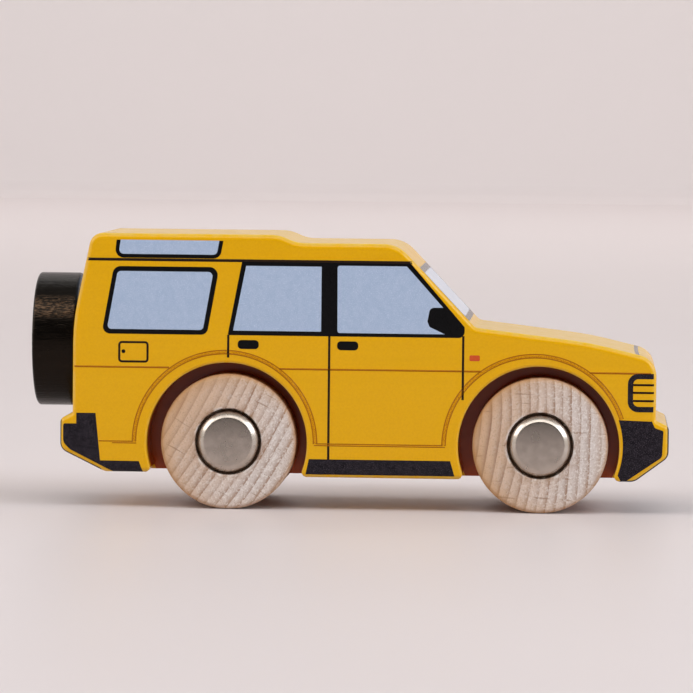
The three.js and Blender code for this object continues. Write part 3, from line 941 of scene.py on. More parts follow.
# %% Cutters for the pockets
POCKET_EDGE = 0.55
ARCH_CORNER = 1.0
WHEEL_CLEARANCE = 0.3
CUT_PAST = 1.0
REACH_IN = 0.9
wheel_low, wheel_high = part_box("wheel_rear_left")
pocket_floor = abs(wheel_low.y) / MM - WHEEL_CLEARANCE


def cut(piece, cutter):
    modifier = piece.modifiers.new("cut", "BOOLEAN")
    modifier.operation = "DIFFERENCE"
    modifier.solver = "EXACT"
    modifier.object = cutter
    apply_modifiers(piece)
    bpy.data.objects.remove(cutter)


def pocket_cutter(axle, turn):
    mouth = POCKET_RADIUS + POCKET_EDGE
    profile = [(0, pocket_floor), (POCKET_RADIUS, pocket_floor)]
    profile += arc(mouth, half_width - POCKET_EDGE, POCKET_EDGE, 180, 90)
    profile += [(mouth, half_width + CUT_PAST), (0, half_width + CUT_PAST)]
    centre = axle - Vector((POCKET_BEHIND_AXLE, 0, POCKET_BELOW_AXLE)) * MM
    return turned("pocket_cutter", profile, centre, turn, YELLOW, POCKET_FACETS, closed=False)


def arch_corner_cutter(axle_x, side, way, bottom):
    """A prism that rounds the corner of a pocket's wall with the floor ahead of it (1) or behind it (-1)."""
    centre = Vector((axle_x - POCKET_BEHIND_AXLE, axle_height - POCKET_BELOW_AXLE))
    up = bottom + ARCH_CORNER
    lean = math.degrees(math.asin((centre.y - up) / (POCKET_RADIUS + ARCH_CORNER)))
    x = centre.x + way * (POCKET_RADIUS + ARCH_CORNER) * math.cos(math.radians(lean))
    start, end = (270, 180 - lean) if way > 0 else (-90, lean)
    rounding = [Vector(point) for point in arc(x, up, ARCH_CORNER, start, end)]
    inside = centre.lerp(rounding[-1], REACH_IN)
    below = bottom - CUT_PAST
    loop = [Vector((x, below)), *rounding, inside, Vector((inside.x, below))]
    count = len(loop)
    verts = [on_car(p.x, side * y, p.y) for y in (pocket_floor, half_width + CUT_PAST) for p in loop]
    faces = [list(range(count)), list(range(count, 2 * count))]
    faces += [[i, (i + 1) % count, count + (i + 1) % count, count + i] for i in range(count)]
    mesh = bpy.data.meshes.new("arch_corner_cutter")
    mesh.from_pydata(verts, [], faces)
    close_mesh(mesh)
    return new_object("arch_corner_cutter", mesh, YELLOW)


print(f"pockets reach in to {pocket_floor:.2f} mm from the middle")

# %% Pockets, bores and the dowel's hole
AXLE_BORE = 2.15
GLUE_GAP = 0.1
DOWEL_END_GAP = 0.4
HOLE_CUT = 20
for axle, axle_x, floor_behind in ((rear_axle, 0.0, rear_floor), (front_axle, wheelbase, floor)):
    for side, turn in ((1, TO_LEFT), (-1, TO_RIGHT)):
        cut(block, pocket_cutter(axle, turn))
        cut(block, arch_corner_cutter(axle_x, side, 1, floor))
        cut(block, arch_corner_cutter(axle_x, side, -1, floor_behind))
    bore = [(0, -half_width), (AXLE_BORE, -half_width), (AXLE_BORE, half_width), (0, half_width)]
    cut(block, turned("bore_cutter", bore, axle, TO_LEFT, YELLOW, ROD_FACETS, closed=False))
dowel_low, dowel_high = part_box("spare_wheel_dowel")
hole_radius = (dowel_high.z - dowel_low.z) / 2 / MM + GLUE_GAP
hole_end = Vector((dowel_high.x + DOWEL_END_GAP * MM, 0, (dowel_low.z + dowel_high.z) / 2))
hole = [(0, 0), (hole_radius, 0), (hole_radius, HOLE_CUT), (0, HOLE_CUT)]
cut(block, turned("dowel_cutter", hole, hole_end, TO_REAR, YELLOW, ROD_FACETS, closed=False))
close_mesh(block.data)
block = smooth(block)
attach(block, "car_body")
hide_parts("body_block")
block_tree = BVHTree.FromObject(block, bpy.context.evaluated_depsgraph_get())
print(f"block of {len(block.data.polygons)} faces")

# %% [markdown]
# ## Films of ink
# Print is modelled as a film a few hundredths of a millimetre thick, half sunk in the paint, so it casts
# no shadow and never flickers against the surface under it. It could be painted by a material instead,
# but a film keeps a sharp edge at any distance and stays a piece of its own, ready to take another colour.

# %% A thin film from a flat sheet
FILM_RISE = 0.02
FILM_SINK = 0.03


def flat_sheet(loops):
    """Points and triangles of an outline with holes."""
    points = [point for loop in loops for point in loop]
    triangles = tessellate_polygon([[Vector((*point, 0)) for point in loop] for loop in loops])
    return points, [tuple(triangle) for triangle in triangles]


def open_sheet(points, faces):
    """A flat sheet as a bmesh, ready to be cut finer."""
    work = bmesh.new()
    verts = [work.verts.new((*point, 0)) for point in points]
    for face in faces:
        work.faces.new([verts[i] for i in face])
    return work


def read_sheet(work):
    """The flat points and the faces of a sheet after cutting."""
    work.verts.index_update()
    points = [(vert.co.x, vert.co.y) for vert in work.verts]
    faces = [tuple(vert.index for vert in face.verts) for face in work.faces]
    work.free()
    return points, faces


def thicken(work, points, faces, place):
    """Adds a closed film to a bmesh: the sheet raised, the sheet sunk, and the walls between them."""
    top = [work.verts.new(place(point, FILM_RISE)) for point in points]
    low = [work.verts.new(place(point, -FILM_SINK)) for point in points]
    uses = {}
    for face in {frozenset(face): face for face in faces}.values():
        work.faces.new([top[i] for i in face])
        work.faces.new([low[i] for i in reversed(face)])
        for a, b in zip(face, face[1:] + face[:1]):
            uses.setdefault(frozenset((a, b)), []).append((a, b))
    for edges in uses.values():
        if len(edges) == 1:
            a, b = edges[0]
            work.faces.new([top[b], top[a], low[a], low[b]])


def film_piece(name, sheets, finish):
    """A piece on the car's body from (points, faces, place) sheets."""
    work = bmesh.new()
    for points, faces, place in sheets:
        thicken(work, points, faces, place)
    bmesh.ops.recalc_face_normals(work, faces=work.faces)
    mesh = bpy.data.meshes.new(name)
    work.to_mesh(mesh)
    work.free()
    piece = new_object(name, mesh, finish)
    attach(piece, "car_body")
    print(f"{name}: {len(sheets)} films, {len(mesh.polygons)} faces")
    return piece


print(f"films of {FILM_RISE + FILM_SINK:.2f} mm")

# %% [markdown]
# A film on the side is drawn flat and then pressed onto the block with rays, so near the outline it follows
# the rounded edge. For that the sheet is split finely there, and left in large triangles on the flat.

# %% Films on the sides
RAY_FROM = 5.0
BEND_DEPTH = 0.002
BEND_LENGTH = 0.22
BEND_PASSES = 9


def on_side(point, side):
    """The place and the outward direction of the block's surface beside a point, on one side."""
    start = Vector((point.x, side * (half_width + RAY_FROM) * MM, point.z))
    hit, normal, _, _ = block_tree.ray_cast(start, Vector((0, -side, 0)))
    return hit, normal


def side_place(side):
    """Presses a flat point onto the block's left (1) or right (-1) side, following its rounded edge."""

    def place(point, lift):
        hit, normal = on_side(on_car(point[0], 0, point[1]), side)
        return hit + normal * (lift * MM)

    return place


def bend_over_edge(points, faces):
    """Splits a flat sheet finely where it runs over the block's rounded edge, so that it can follow it."""
    work = open_sheet(points, faces)
    flat = half_width * MM - BEND_DEPTH * MM
    press = side_place(1)
    for _ in range(BEND_PASSES):
        bent = {vert for vert in work.verts if press(vert.co[:2], 0).y < flat}
        near = {edge for vert in bent for face in vert.link_faces for edge in face.edges}
        long = [edge for edge in near if edge.calc_length() > BEND_LENGTH]
        if long:
            bmesh.ops.subdivide_edges(work, edges=long, cuts=1)
            bmesh.ops.triangulate(work, faces=work.faces)
    return read_sheet(work)


def side_film(name, shapes, finish):
    """Films on both sides of the block. Each shape is an outline and then its holes."""
    sheets = []
    for loops in shapes:
        points, faces = bend_over_edge(*flat_sheet(loops))
        for side in (-1, 1):
            sheets.append((points, faces, side_place(side)))
    return film_piece(name, sheets, finish)


print(f"films bend in steps of {BEND_LENGTH} mm")

# %% [markdown]
# ## Windows on the sides
# Three black frames hold four panes. Each pane's outline is the frame's hole, so the two films meet edge
# to edge. A door mirror stands in the corner of the front pane, drawn as part of the frame.

# %% Window frames and panes
QUARTER_TOP = 49.6
QUARTER_FRAME = [
    (-20.9, QUARTER_TOP, 0), (-21.25, 46.3, 1.5), (-1.75, 46.3, 1.5), (-1.15, QUARTER_TOP, 0),
    (-1.9, QUARTER_TOP, 0), (-2.35, 47.0, 0.8), (-20.5, 47.0, 0.8), (-20.15, QUARTER_TOP, 0),
]
QUARTER_PANE = [(-20.15, QUARTER_TOP, 0), (-20.5, 47.0, 0.8), (-2.35, 47.0, 0.8), (-1.9, QUARTER_TOP, 0)]
REAR_FRAME = [(-21.36, 44.73, 1.5), (-23.58, 32.23, 1.3), (-4.08, 32.23, 1.3), (-1.86, 44.73, 1.5)]
REAR_PANE = [(-20.68, 43.83, 0.8), (-22.59, 33.1, 0.7), (-4.83, 33.1, 0.7), (-2.96, 43.83, 0.8)]
DOOR_FRAME = [
    (2.33, 45.75, 0), (-0.22, 32.23, 0.3), (43.55, 32.23, 1.2), (43.45, 34.25, 0.5), (33.5, 45.75, 0),
]
BACK_DOOR_PANE = [(3.1, 45.05, 0.1), (0.77, 33.07, 0.1), (17.03, 33.07, 0.15), (17.03, 45.05, 0.15)]
FRONT_DOOR_PANE = [
    (19.97, 45.27, 0.45), (20.05, 32.87, 0.45), (39.83, 32.87, 0), (37.0, 34.2, 0.6), (36.6, 35.2, 0.5),
    (37.1, 37.75, 0.9), (39.5, 37.75, 0), (32.73, 45.27, 0.1),
]

frames = [
    [loop_of(QUARTER_FRAME)],
    [loop_of(REAR_FRAME), loop_of(REAR_PANE)],
    [loop_of(DOOR_FRAME), loop_of(BACK_DOOR_PANE), loop_of(FRONT_DOOR_PANE)],
]
panes = [[loop_of(pane)] for pane in (QUARTER_PANE, REAR_PANE, BACK_DOOR_PANE, FRONT_DOOR_PANE)]
side_film("print_window_frames", frames, BLACK_INK)
side_film("print_panes", panes, GLASS_INK)

# %% [markdown]
# ## Bumpers, sills, grille and small marks
# These are the plain dark areas below. The bumpers stop a millimetre short of the block's ends, so a
# yellow margin is left on the rounded edge, and the front one ends in an arc about the front axle.

# %% Dark areas on the sides
FRONT_BUMPER_ARC = 15.2
FRONT_BUMPER_TOP = 17.5
FRONT_BUMPER_FOOT = 7.3
FRONT_BUMPER_TIP = 0.04
FRONT_BUMPER_STEPS = 12
REAR_BUMPER = [
    (-28.17, 17.5, 0.1), (-28.17, 15.5, 0), (-30.6, 15.5, 0.4), (-30.6, 12.0, 1.5), (-29.3, 10.7, 1.2),
    (-21.3, 6.7, 0), (-15.75, 6.7, 0), (-16.5, 8.68, 0), (-23.7, 8.72, 0), (-24.6, 17.5, 0.1),
]
SILL = [(14.4, 6.68, 0), (41.9, 6.68, 0), (41.07, 9.5, 0), (15.0, 9.5, 0)]
GRILLE_FRAME = [
    (78.3, 26.07, 0), (73.57, 26.07, 1.9), (73.57, 19.0, 1.9), (78.3, 19.0, 0),
    (78.3, 20.0, 0), (74.55, 20.0, 1.0), (74.55, 25.1, 1.0), (78.3, 25.1, 0),
]


def front_bumper():
    tip = floor + FRONT_BUMPER_TIP
    corners = [(72.5, tip, 0), (73.3, tip, 0), (80.0, 10.75, 1.0)]
    corners += [(80.2, 15.6, 0.35), (78.6, 16.1, 0.8), (78.0, FRONT_BUMPER_TOP, 0.1)]
    start = math.degrees(math.asin((FRONT_BUMPER_TOP - axle_height) / FRONT_BUMPER_ARC))
    end = math.degrees(math.asin((FRONT_BUMPER_FOOT - axle_height) / FRONT_BUMPER_ARC))
    inner = arc(wheelbase, axle_height, FRONT_BUMPER_ARC, start, end, FRONT_BUMPER_STEPS)
    return loop_of(corners) + [Vector(point) for point in inner]


dark_areas = [[loop_of(REAR_BUMPER)], [loop_of(SILL)], [loop_of(GRILLE_FRAME)], [front_bumper()]]
side_film("print_dark_areas", dark_areas, BUMPER_INK)

# %% Handles, slats and indicators
HANDLE_STARTS = (1.65, 20.02)
HANDLE_LENGTH = 3.9
HANDLE_SPAN = (29.7, 31.35)
HANDLE_CORNER = 0.7
FLAP_LOCK = (-19.5, 29.0)
FLAP_LOCK_RADIUS = 0.36
LOCK_STEPS = 16
SLAT_ENDS = (74.5, 78.35)
SLAT_HEIGHTS = (24.0, 22.57, 21.07)
SLAT_WIDTH = 0.4
INDICATOR = rectangle(44.43, 46.33, 28.0, 29.07, 0.25)

handles = [[loop_of(rectangle(x, x + HANDLE_LENGTH, *HANDLE_SPAN, HANDLE_CORNER))] for x in HANDLE_STARTS]
lock = arc(*FLAP_LOCK, FLAP_LOCK_RADIUS, 0, 360 - 360 / LOCK_STEPS, LOCK_STEPS - 1)
handles.append([[Vector(point) for point in lock]])
side_film("print_handles", handles, BLACK_INK)
slats = []
for z in SLAT_HEIGHTS:
    slats.append([loop_of(rectangle(*SLAT_ENDS, z - SLAT_WIDTH / 2, z + SLAT_WIDTH / 2, 0))])
side_film("print_grille_slats", slats, LINE_INK)
side_film("print_indicators", [[loop_of(INDICATOR)]], LAMP_INK)

# %% [markdown]
# ## Lines with Geometry Nodes
# Door gaps, the gutter, the creases and the wheel arch flares are lines of even width along a path. Curve
# to Mesh carries a flat rectangle along each path, and the tree then sets the result on both sides. A
# line that runs out over the rounded edge is pressed onto it point by point.

# %% A tree for printed lines


def both_sides(tree, geometry, ask):
    """Sets what lies flat upright on both sides of the car, by the tree's Start and Across inputs."""
    sides = add(tree, "GeometryNodeJoinGeometry")
    for side in (-1, 1):
        step = product(tree, ask["Across"], side)
        shift = add(tree, "ShaderNodeCombineXYZ", {"Y": step}).outputs[0]
        place = add(tree, "ShaderNodeVectorMath", {0: ask["Start"], 1: shift}, operation="ADD").outputs[0]
        move = {"Geometry": geometry, "Translation": place, "Rotation": (math.radians(90), 0, 0)}
        upright = add(tree, "GeometryNodeTransform", move)
        tree.links.new(upright.outputs[0], sides.inputs[0])
    return sides.outputs[0]


def line_tree():
    inputs = [("Width", "Float"), ("Thickness", "Float"), ("Start", "Vector")]
    inputs += [("Across", "Float"), ("Finish", "Material")]
    tree, inlet, outlet = new_tree("printed_lines", inputs)
    ask = inlet.outputs
    size = {"Width": ask["Width"], "Height": ask["Thickness"]}
    section = add(tree, "GeometryNodeCurvePrimitiveQuadrilateral", size)
    sweep = {"Curve": ask["Geometry"], "Profile Curve": section.outputs[0], "Fill Caps": True}
    swept = add(tree, "GeometryNodeCurveToMesh", sweep)
    end_tree(tree, outlet, both_sides(tree, swept.outputs[0], ask), ask["Finish"])
    return tree


LINES = line_tree()
print("tree", LINES.name, "with", len(LINES.nodes), "nodes")

# %% Printing lines on both sides
END_STEP = 0.25
END_STEPS = 6


def with_end_steps(path):
    """A path with extra points near both ends, so that its line can bend over the block's rounded edge."""
    points = [Vector(point) for point in path]
    for _ in range(2):
        way = (points[1] - points[0]).normalized()
        room = (points[1] - points[0]).length
        steps = [points[0] + way * (k * END_STEP) for k in range(1, END_STEPS + 1) if k * END_STEP < room]
        points = (points[:1] + steps + points[1:])[::-1]
    return points


def press_on(mesh):
    """Moves a mesh that stands on the planes of the sides inwards to where the block's surface is."""
    for vert in mesh.vertices:
        side = math.copysign(1, vert.co.y)
        hit, _ = on_side(vert.co, side)
        vert.co.y -= side * (half_width * MM - abs(hit.y))


def side_lines(name, paths, width, finish, closed=False, rise=FILM_RISE):
    piece = curve_of(name, paths if closed else [with_end_steps(path) for path in paths], closed)
    piece.data.twist_mode = "Z_UP"
    modifier = piece.modifiers.new("lines", "NODES")
    modifier.node_group = LINES
    set_inputs(
        modifier,
        width=width * MM,
        thickness=(rise + FILM_SINK) * MM,
        start=(rear_axle.x, 0, 0),
        across=(half_width + (rise - FILM_SINK) / 2) * MM,
        finish=finish,
    )
    piece = apply_modifiers(piece)
    close_mesh(piece.data)
    press_on(piece.data)
    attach(piece, "car_body")
    print(f"{name}: {len(paths)} lines a side, {len(piece.data.polygons)} faces")
    return piece


print(f"ends of lines are split every {END_STEP} mm")

# %% Gutter, door gaps and fuel flap
GUTTER_WIDTH = 0.52
DOOR_GAP_WIDTH = 0.42
FLAP_LINE_WIDTH = 0.4
GUTTER = [(-26.5, 45.97), (33.7, 45.97)]
DOOR_GAPS = [
    [(-0.1, 32.3), (-0.1, 28.07)],
    [(18.57, 32.3), (18.57, 9.45)],
    [(43.25, 32.6), (43.25, 20.8)],
]
FLAP = loop_of(rectangle(-20.27, -15.03, 27.13, 30.7, 0.5))
side_lines("print_gutter", [GUTTER], GUTTER_WIDTH, LINE_INK)
side_lines("print_door_gaps", DOOR_GAPS, DOOR_GAP_WIDTH, LINE_INK)
side_lines("print_fuel_flap", [FLAP], FLAP_LINE_WIDTH, LINE_INK, closed=True)

# %% Creases and wheel arch flares
FLARE_OUTER = 17.1
FLARE_INNER = 16.45
REAR_FLARE = (-0.66, 12.3)
FRONT_FLARE = (56.6, 12.3)
FRONT_FLARE_START_DEG = 18.4
FLARE_STEPS = 72
FLARE_MIDDLE = (FLARE_OUTER + FLARE_INNER) / 2
FLARE_WIDTH = FLARE_OUTER - FLARE_INNER
WAIST = 26.1
LOWER_CREASE = 12.35
LOWEST_CREASE = 12.03
CREASE_WIDTH = 0.34
FINE_CREASE_WIDTH = 0.2


def flare(centre, radius, start_deg):
    return arc(*centre, radius, start_deg, 180, FLARE_STEPS)


def flares(radius):
    return [flare(REAR_FLARE, radius, 0), flare(FRONT_FLARE, radius, FRONT_FLARE_START_DEG)]


def level(height, *ends):
    """Level lines at a height, each from one end to the other."""
    return [[(start, height), (end, height)] for start, end in ends]


CREASES = level(WAIST, (-28.6, -11.0), (9.4, 46.5), (66.5, 77.8))
FINE_CREASES = level(LOWER_CREASE, (-24.0, -17.6), (16.4, 39.6))
FINE_CREASES += level(LOWEST_CREASE, (-21.5, -17.0), (15.9, 40.1))
FINE_CREASES += flares(FLARE_OUTER) + flares(FLARE_INNER)
side_lines("print_creases", CREASES, CREASE_WIDTH, CREASE_INK)
side_lines("print_fine_creases", FINE_CREASES, FINE_CREASE_WIDTH, CREASE_INK)
side_lines("print_flare_tint", flares(FLARE_MIDDLE), FLARE_WIDTH, TINT_INK, rise=FILM_RISE / 2)

# %% [markdown]
# ## Stippled shade between the flare lines
# The print shades each flare with a light tint and fine dots on it. Points are scattered over a flat band
# and a small six-sided dot is set on each: a rule with a density and a seed, where placing them by hand
# would be endless.

# %% A tree for printed dots
DOT_RADIUS = 0.08
DOT_SIDES = 6
DOT_SPACING = 2.2 * DOT_RADIUS
DOTS_PER_SQUARE_MM = 20.0
DOT_SEED = 4
CLEAR_OF_INNER = 0.1
CLEAR_OF_OUTER = 0.15


def dot_tree():
    inputs = [("Density", "Float"), ("Dot radius", "Float"), ("Thickness", "Float"), ("Start", "Vector")]
    inputs += [("Across", "Float"), ("Seed", "Int"), ("Finish", "Material")]
    tree, inlet, outlet = new_tree("printed_dots", inputs)
    ask = inlet.outputs
    scatter = {"Mesh": ask["Geometry"], "Density Max": ask["Density"], "Seed": ask["Seed"]}
    scatter["Distance Min"] = DOT_SPACING * MM
    points = add(tree, "GeometryNodeDistributePointsOnFaces", scatter, distribute_method="POISSON")
    size = {"Vertices": DOT_SIDES, "Radius": ask["Dot radius"], "Depth": ask["Thickness"]}
    dot = add(tree, "GeometryNodeMeshCylinder", size)
    each = {"Points": points.outputs["Points"], "Instance": dot.outputs["Mesh"]}
    dots = add(tree, "GeometryNodeInstanceOnPoints", each)
    end_tree(tree, outlet, both_sides(tree, dots.outputs[0], ask), ask["Finish"])
    return tree


def flare_bands():
    work = bmesh.new()
    for centre, start in ((REAR_FLARE, 0), (FRONT_FLARE, FRONT_FLARE_START_DEG)):
        inner = flare(centre, FLARE_INNER + CLEAR_OF_INNER, start)
        outer = flare(centre, FLARE_OUTER - CLEAR_OF_OUTER, start)
        rows = [[work.verts.new((x * MM, z * MM, 0)) for x, z in row] for row in (inner, outer)]
        for i in range(len(inner) - 1):
            work.faces.new([rows[0][i + 1], rows[0][i], rows[1][i], rows[1][i + 1]])
    mesh = bpy.data.meshes.new("print_flare_dots")
    work.to_mesh(mesh)
    work.free()
    return mesh


stipple = new_object("print_flare_dots", flare_bands())
modifier = stipple.modifiers.new("dots", "NODES")
modifier.node_group = dot_tree()
set_inputs(
    modifier,
    density=DOTS_PER_SQUARE_MM / MM**2,
    dot_radius=DOT_RADIUS * MM,
    thickness=(FILM_RISE + FILM_SINK) * MM,
    start=(rear_axle.x, 0, 0),
    across=(half_width + (FILM_RISE - FILM_SINK) / 2) * MM,
    seed=DOT_SEED,
    finish=CREASE_INK,
)
stipple = apply_modifiers(stipple)
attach(stipple, "car_body")
print(f"dots in {len(stipple.data.polygons)} faces")

# %% [markdown]
# ## Print on the ends
# The windscreen, bumper ends and lamps lie on surfaces that bend, so they are drawn flat first: distance
# along the block's outline one way and distance across the car the other. The flat sheet is cut wherever
# the outline bends and then wrapped onto it.

# %% Wrapping a flat sheet round the outline
outline_points = block_outline + block_outline[:1]
travel = [0.0]
for (here, _), (following, _) in zip(outline_points, outline_points[1:]):
    travel.append(travel[-1] + (following - here).length)


def travel_to(x, z):
    """Distance along the outline to its point nearest to a place on the side."""
    best = (1e9, 0.0)
    target = Vector((x, z))
    for i in range(len(travel) - 1):
        start, end = outline_points[i][0], outline_points[i + 1][0]
        step = end - start
        share = min(1.0, max(0.0, (target - start).dot(step) / max(step.length_squared, 1e-12)))
        gap = (start + step * share - target).length
        if gap < best[0]:
            best = (gap, travel[i] + share * step.length)
    return best[1]


FLAT_HALF = half_width - EDGE_RADIUS
EDGE_TURNS = (0.0, 0.2, 0.4, 0.6, 0.8)


def wrap_place(point, lift):
    """The place of a flat point: along the outline, then across the car and over its rounded side edge."""
    i = max(k for k in range(len(travel) - 1) if travel[k] <= point[0] + 1e-9)
    share = (point[0] - travel[i]) / max(travel[i + 1] - travel[i], 1e-9)
    place = outline_points[i][0].lerp(outline_points[i + 1][0], share)
    outward = outline_points[i][1].lerp(outline_points[i + 1][1], share)
    turn = max(0.0, abs(point[1]) - FLAT_HALF) / EDGE_RADIUS
    reach = EDGE_RADIUS + lift
    place = place + outward * (reach * math.cos(turn) - EDGE_RADIUS)
    across = min(abs(point[1]), FLAT_HALF) + reach * math.sin(turn)
    return on_car(place.x, math.copysign(across, point[1]), place.y)


def bend_sheet(loops):
    """A flat sheet cut at every bend of the outline, and finely where it runs over the side edges."""
    points, faces = flat_sheet(loops)
    work = open_sheet(points, faces)
    edge_bends = [side * (FLAT_HALF + EDGE_RADIUS * turn) for side in (-1, 1) for turn in EDGE_TURNS]
    for axis, bends in ((0, travel), (1, edge_bends)):
        low = min(point[axis] for point in points)
        high = max(point[axis] for point in points)
        square = (1, 0, 0) if axis == 0 else (0, 1, 0)
        for bend in bends:
            if low < bend < high:
                every = work.verts[:] + work.edges[:] + work.faces[:]
                plane = [bend * part for part in square]
                bmesh.ops.bisect_plane(work, geom=every, dist=1e-6, plane_co=plane, plane_no=square)
    return read_sheet(work)


def end_film(name, shapes, finish):
    return film_piece(name, [(*bend_sheet(loops), wrap_place) for loops in shapes], finish)


print(f"outline {travel[-1]:.1f} mm round")

# %% [markdown]
# The front of the car shows a little in the photograph: the windscreen between two dark bands, the edge
# of the bonnet and the dark bumper. Lamps, slats and the tail's window are not seen there. They follow
# the plainest pattern for such a car, with shapes that continue what the sides show.

# %% Windscreen and bonnet edge
screen_foot = travel_to(*cowl)
SCREEN_FRAME = rectangle(screen_foot + 1.55, screen_foot + 15.0, -15.6, 15.6, 1.6)
SCREEN_PANE = rectangle(screen_foot + 2.75, screen_foot + 13.7, -14.9, 14.9, 1.0)
end_film("print_windscreen_frame", [[loop_of(SCREEN_FRAME), loop_of(SCREEN_PANE)]], END_INK)
end_film("print_windscreen", [[loop_of(SCREEN_PANE)]], SCREEN_INK)

BONNET_LINE = 0.75
BONNET_BOW = 0.2
BONNET_LINE_HALF = 15
bonnet_edge = travel_to(75.7, 29.4)
bow_out = []
for y in range(-BONNET_LINE_HALF, BONNET_LINE_HALF + 1):
    bow_out.append(Vector((bonnet_edge + BONNET_BOW * (1 - (y / FLAT_HALF) ** 2), y)))
bow_in = [Vector((point.x + BONNET_LINE, point.y)) for point in reversed(bow_out)]
print(f"bonnet line {bonnet_edge:.1f} mm along the outline")

# %% Grille, headlamps and front bumper
RIM_WIDTH = 0.9
GRILLE_HALF = 8.6
GRILLE_CORNERS = (1.2, 0.6)
LAMP_SPAN = (9.6, 15.4)
LAMP_CORNERS = (1.2, 0.8)
FRONT_SLAT_HALF = 0.14
BUMPER_HALF = FLAT_HALF + 0.7 * EDGE_RADIUS
BUMPER_CORNER = 0.5
front_span = (travel_to(nose, 19.05), travel_to(nose, 25.95))
bumper_span = (travel_to(72.2, base_line), travel_to(bumper_front - 0.2, 16.4))


def rimmed(along, across, corners):
    """The outer and the inner outline of a rim of even width."""
    inside = (along[0] + RIM_WIDTH, along[1] - RIM_WIDTH, across[0] + RIM_WIDTH, across[1] - RIM_WIDTH)
    return [loop_of(rectangle(*along, *across, corners[0])), loop_of(rectangle(*inside, corners[1]))]


def bumper_band(span):
    """A dark band across the car's end, over the start of its rounded side edges."""
    return [loop_of(rectangle(*span, -BUMPER_HALF, BUMPER_HALF, BUMPER_CORNER))]


front_shapes = [[bow_out + bow_in], rimmed(front_span, (-GRILLE_HALF, GRILLE_HALF), GRILLE_CORNERS)]
slat_half = GRILLE_HALF - RIM_WIDTH
for z in SLAT_HEIGHTS:
    along = travel_to(nose, z)
    slat = rectangle(along - FRONT_SLAT_HALF, along + FRONT_SLAT_HALF, -slat_half, slat_half, 0)
    front_shapes.append([loop_of(slat)])
lamps = []
for side in (-1, 1):
    lamp = rimmed(front_span, sorted(side * y for y in LAMP_SPAN), LAMP_CORNERS)
    front_shapes.append(lamp)
    lamps.append(lamp[1:])
front_shapes.append(bumper_band(bumper_span))
end_film("print_front", front_shapes, END_INK)
end_film("print_headlamps", lamps, HEADLAMP_INK)

# %% Tail
TAIL_WINDOW_HALF = 13.6
TAIL_WINDOW_CORNERS = (1.5, 0.8)
TAIL_LAMP_SPAN = (13.0, 15.6)
TAIL_LAMP_CORNER = 0.5
window_span = sorted((travel_to(tail_top, 47.6), travel_to(tail, 36.6)))
lamp_span = sorted((travel_to(tail, 30.0), travel_to(tail, 22.5)))
bumper_span = (travel_to(bumper_rear + 0.1, 16.3), travel[-1] - 0.05)

tail_window = rimmed(window_span, (-TAIL_WINDOW_HALF, TAIL_WINDOW_HALF), TAIL_WINDOW_CORNERS)
tail_lamps = []
for side in (-1, 1):
    across = sorted(side * y for y in TAIL_LAMP_SPAN)
    tail_lamps.append([loop_of(rectangle(*lamp_span, *across, TAIL_LAMP_CORNER))])
end_film("print_tail", [tail_window, bumper_band(bumper_span)], BLACK_INK)
end_film("print_tail_pane", [tail_window[1:]], GLASS_INK)
end_film("print_tail_lamps", tail_lamps, LAMP_INK)

# %% [markdown]
# ## Wheels
# A wheel is a disc with rounded rims, a bore for the axle and a recess in its outer face for the cap.
# The section below is that disc cut in half. Each wheel gets its own end grain, turned and shifted.

# %% The four wheels
WHEEL_EDGE = 0.9
WHEEL_BORE = 2.15
RECESS_DEPTH = 3.2
RECESS_LIP = 0.3
LIP_STEPS = 3
wheel_radius = (wheel_high.z - wheel_low.z) / 2 / MM
wheel_thickness = (wheel_high.y - wheel_low.y) / MM


def wheel_profile():
    rim = wheel_radius - WHEEL_EDGE
    lip = RECESS_RADIUS + RECESS_LIP
    recess_floor = wheel_thickness - RECESS_DEPTH
    profile = [(WHEEL_BORE, 0)]
    profile += arc(rim, WHEEL_EDGE, WHEEL_EDGE, -90, 0)
    profile += arc(rim, wheel_thickness - WHEEL_EDGE, WHEEL_EDGE, 0, 90)
    profile += [(lip, wheel_thickness)]
    profile += arc(lip, wheel_thickness - RECESS_LIP, RECESS_LIP, 90, 180, LIP_STEPS)[1:]
    profile += [(RECESS_RADIUS, recess_floor), (WHEEL_BORE, recess_floor)]
    return profile


def inner_face(node):
    """A node's middle, moved to the face that looks at the car's middle, and the turn that points it out."""
    low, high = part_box(node)
    middle = (low + high) / 2
    if middle.y > 0:
        return Vector((middle.x, low.y, middle.z)), TO_LEFT
    return Vector((middle.x, high.y, middle.z)), TO_RIGHT


GRAIN = {
    "rear_right": (-30, 3.0),
    "front_right": (-4, 12.4),
    "rear_left": (50, 21.0),
    "front_left": (75, 33.0),
}
for place_name, (lean, offset) in GRAIN.items():
    node = "wheel_" + place_name
    place, turn = inner_face(node)
    finish = end_grain("beech_" + place_name, middle_of(node), lean, offset)
    wheel = smooth(turned("turned_" + node, wheel_profile(), place, turn, finish, WHEEL_FACETS))
    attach(wheel, f"{place_name}_wheel")
    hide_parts(node)
    print(f"{wheel.name}: {len(wheel.data.polygons)} faces")

# %% [markdown]
# ## Frayed fibres
# Boring into end grain leaves a pale, slightly furry lip. Short tapered fibres are set round the recess,
# each with its own lean and length. One seed per wheel keeps them fixed.

# %% A tree for frayed fibres
FIBRE_LENGTH = 0.5
FIBRE_RADIUS = 0.03
FIBRE_SIDES = 4
FIBRES = 220
FIBRE_STRAY = (0.18, 0.18, 0.06)
FIBRE_LEAN = 1.3
FULL_TURN = 6.28
SHORTEST_FIBRE = 0.35
FRAY_CIRCLE_FACETS = 96


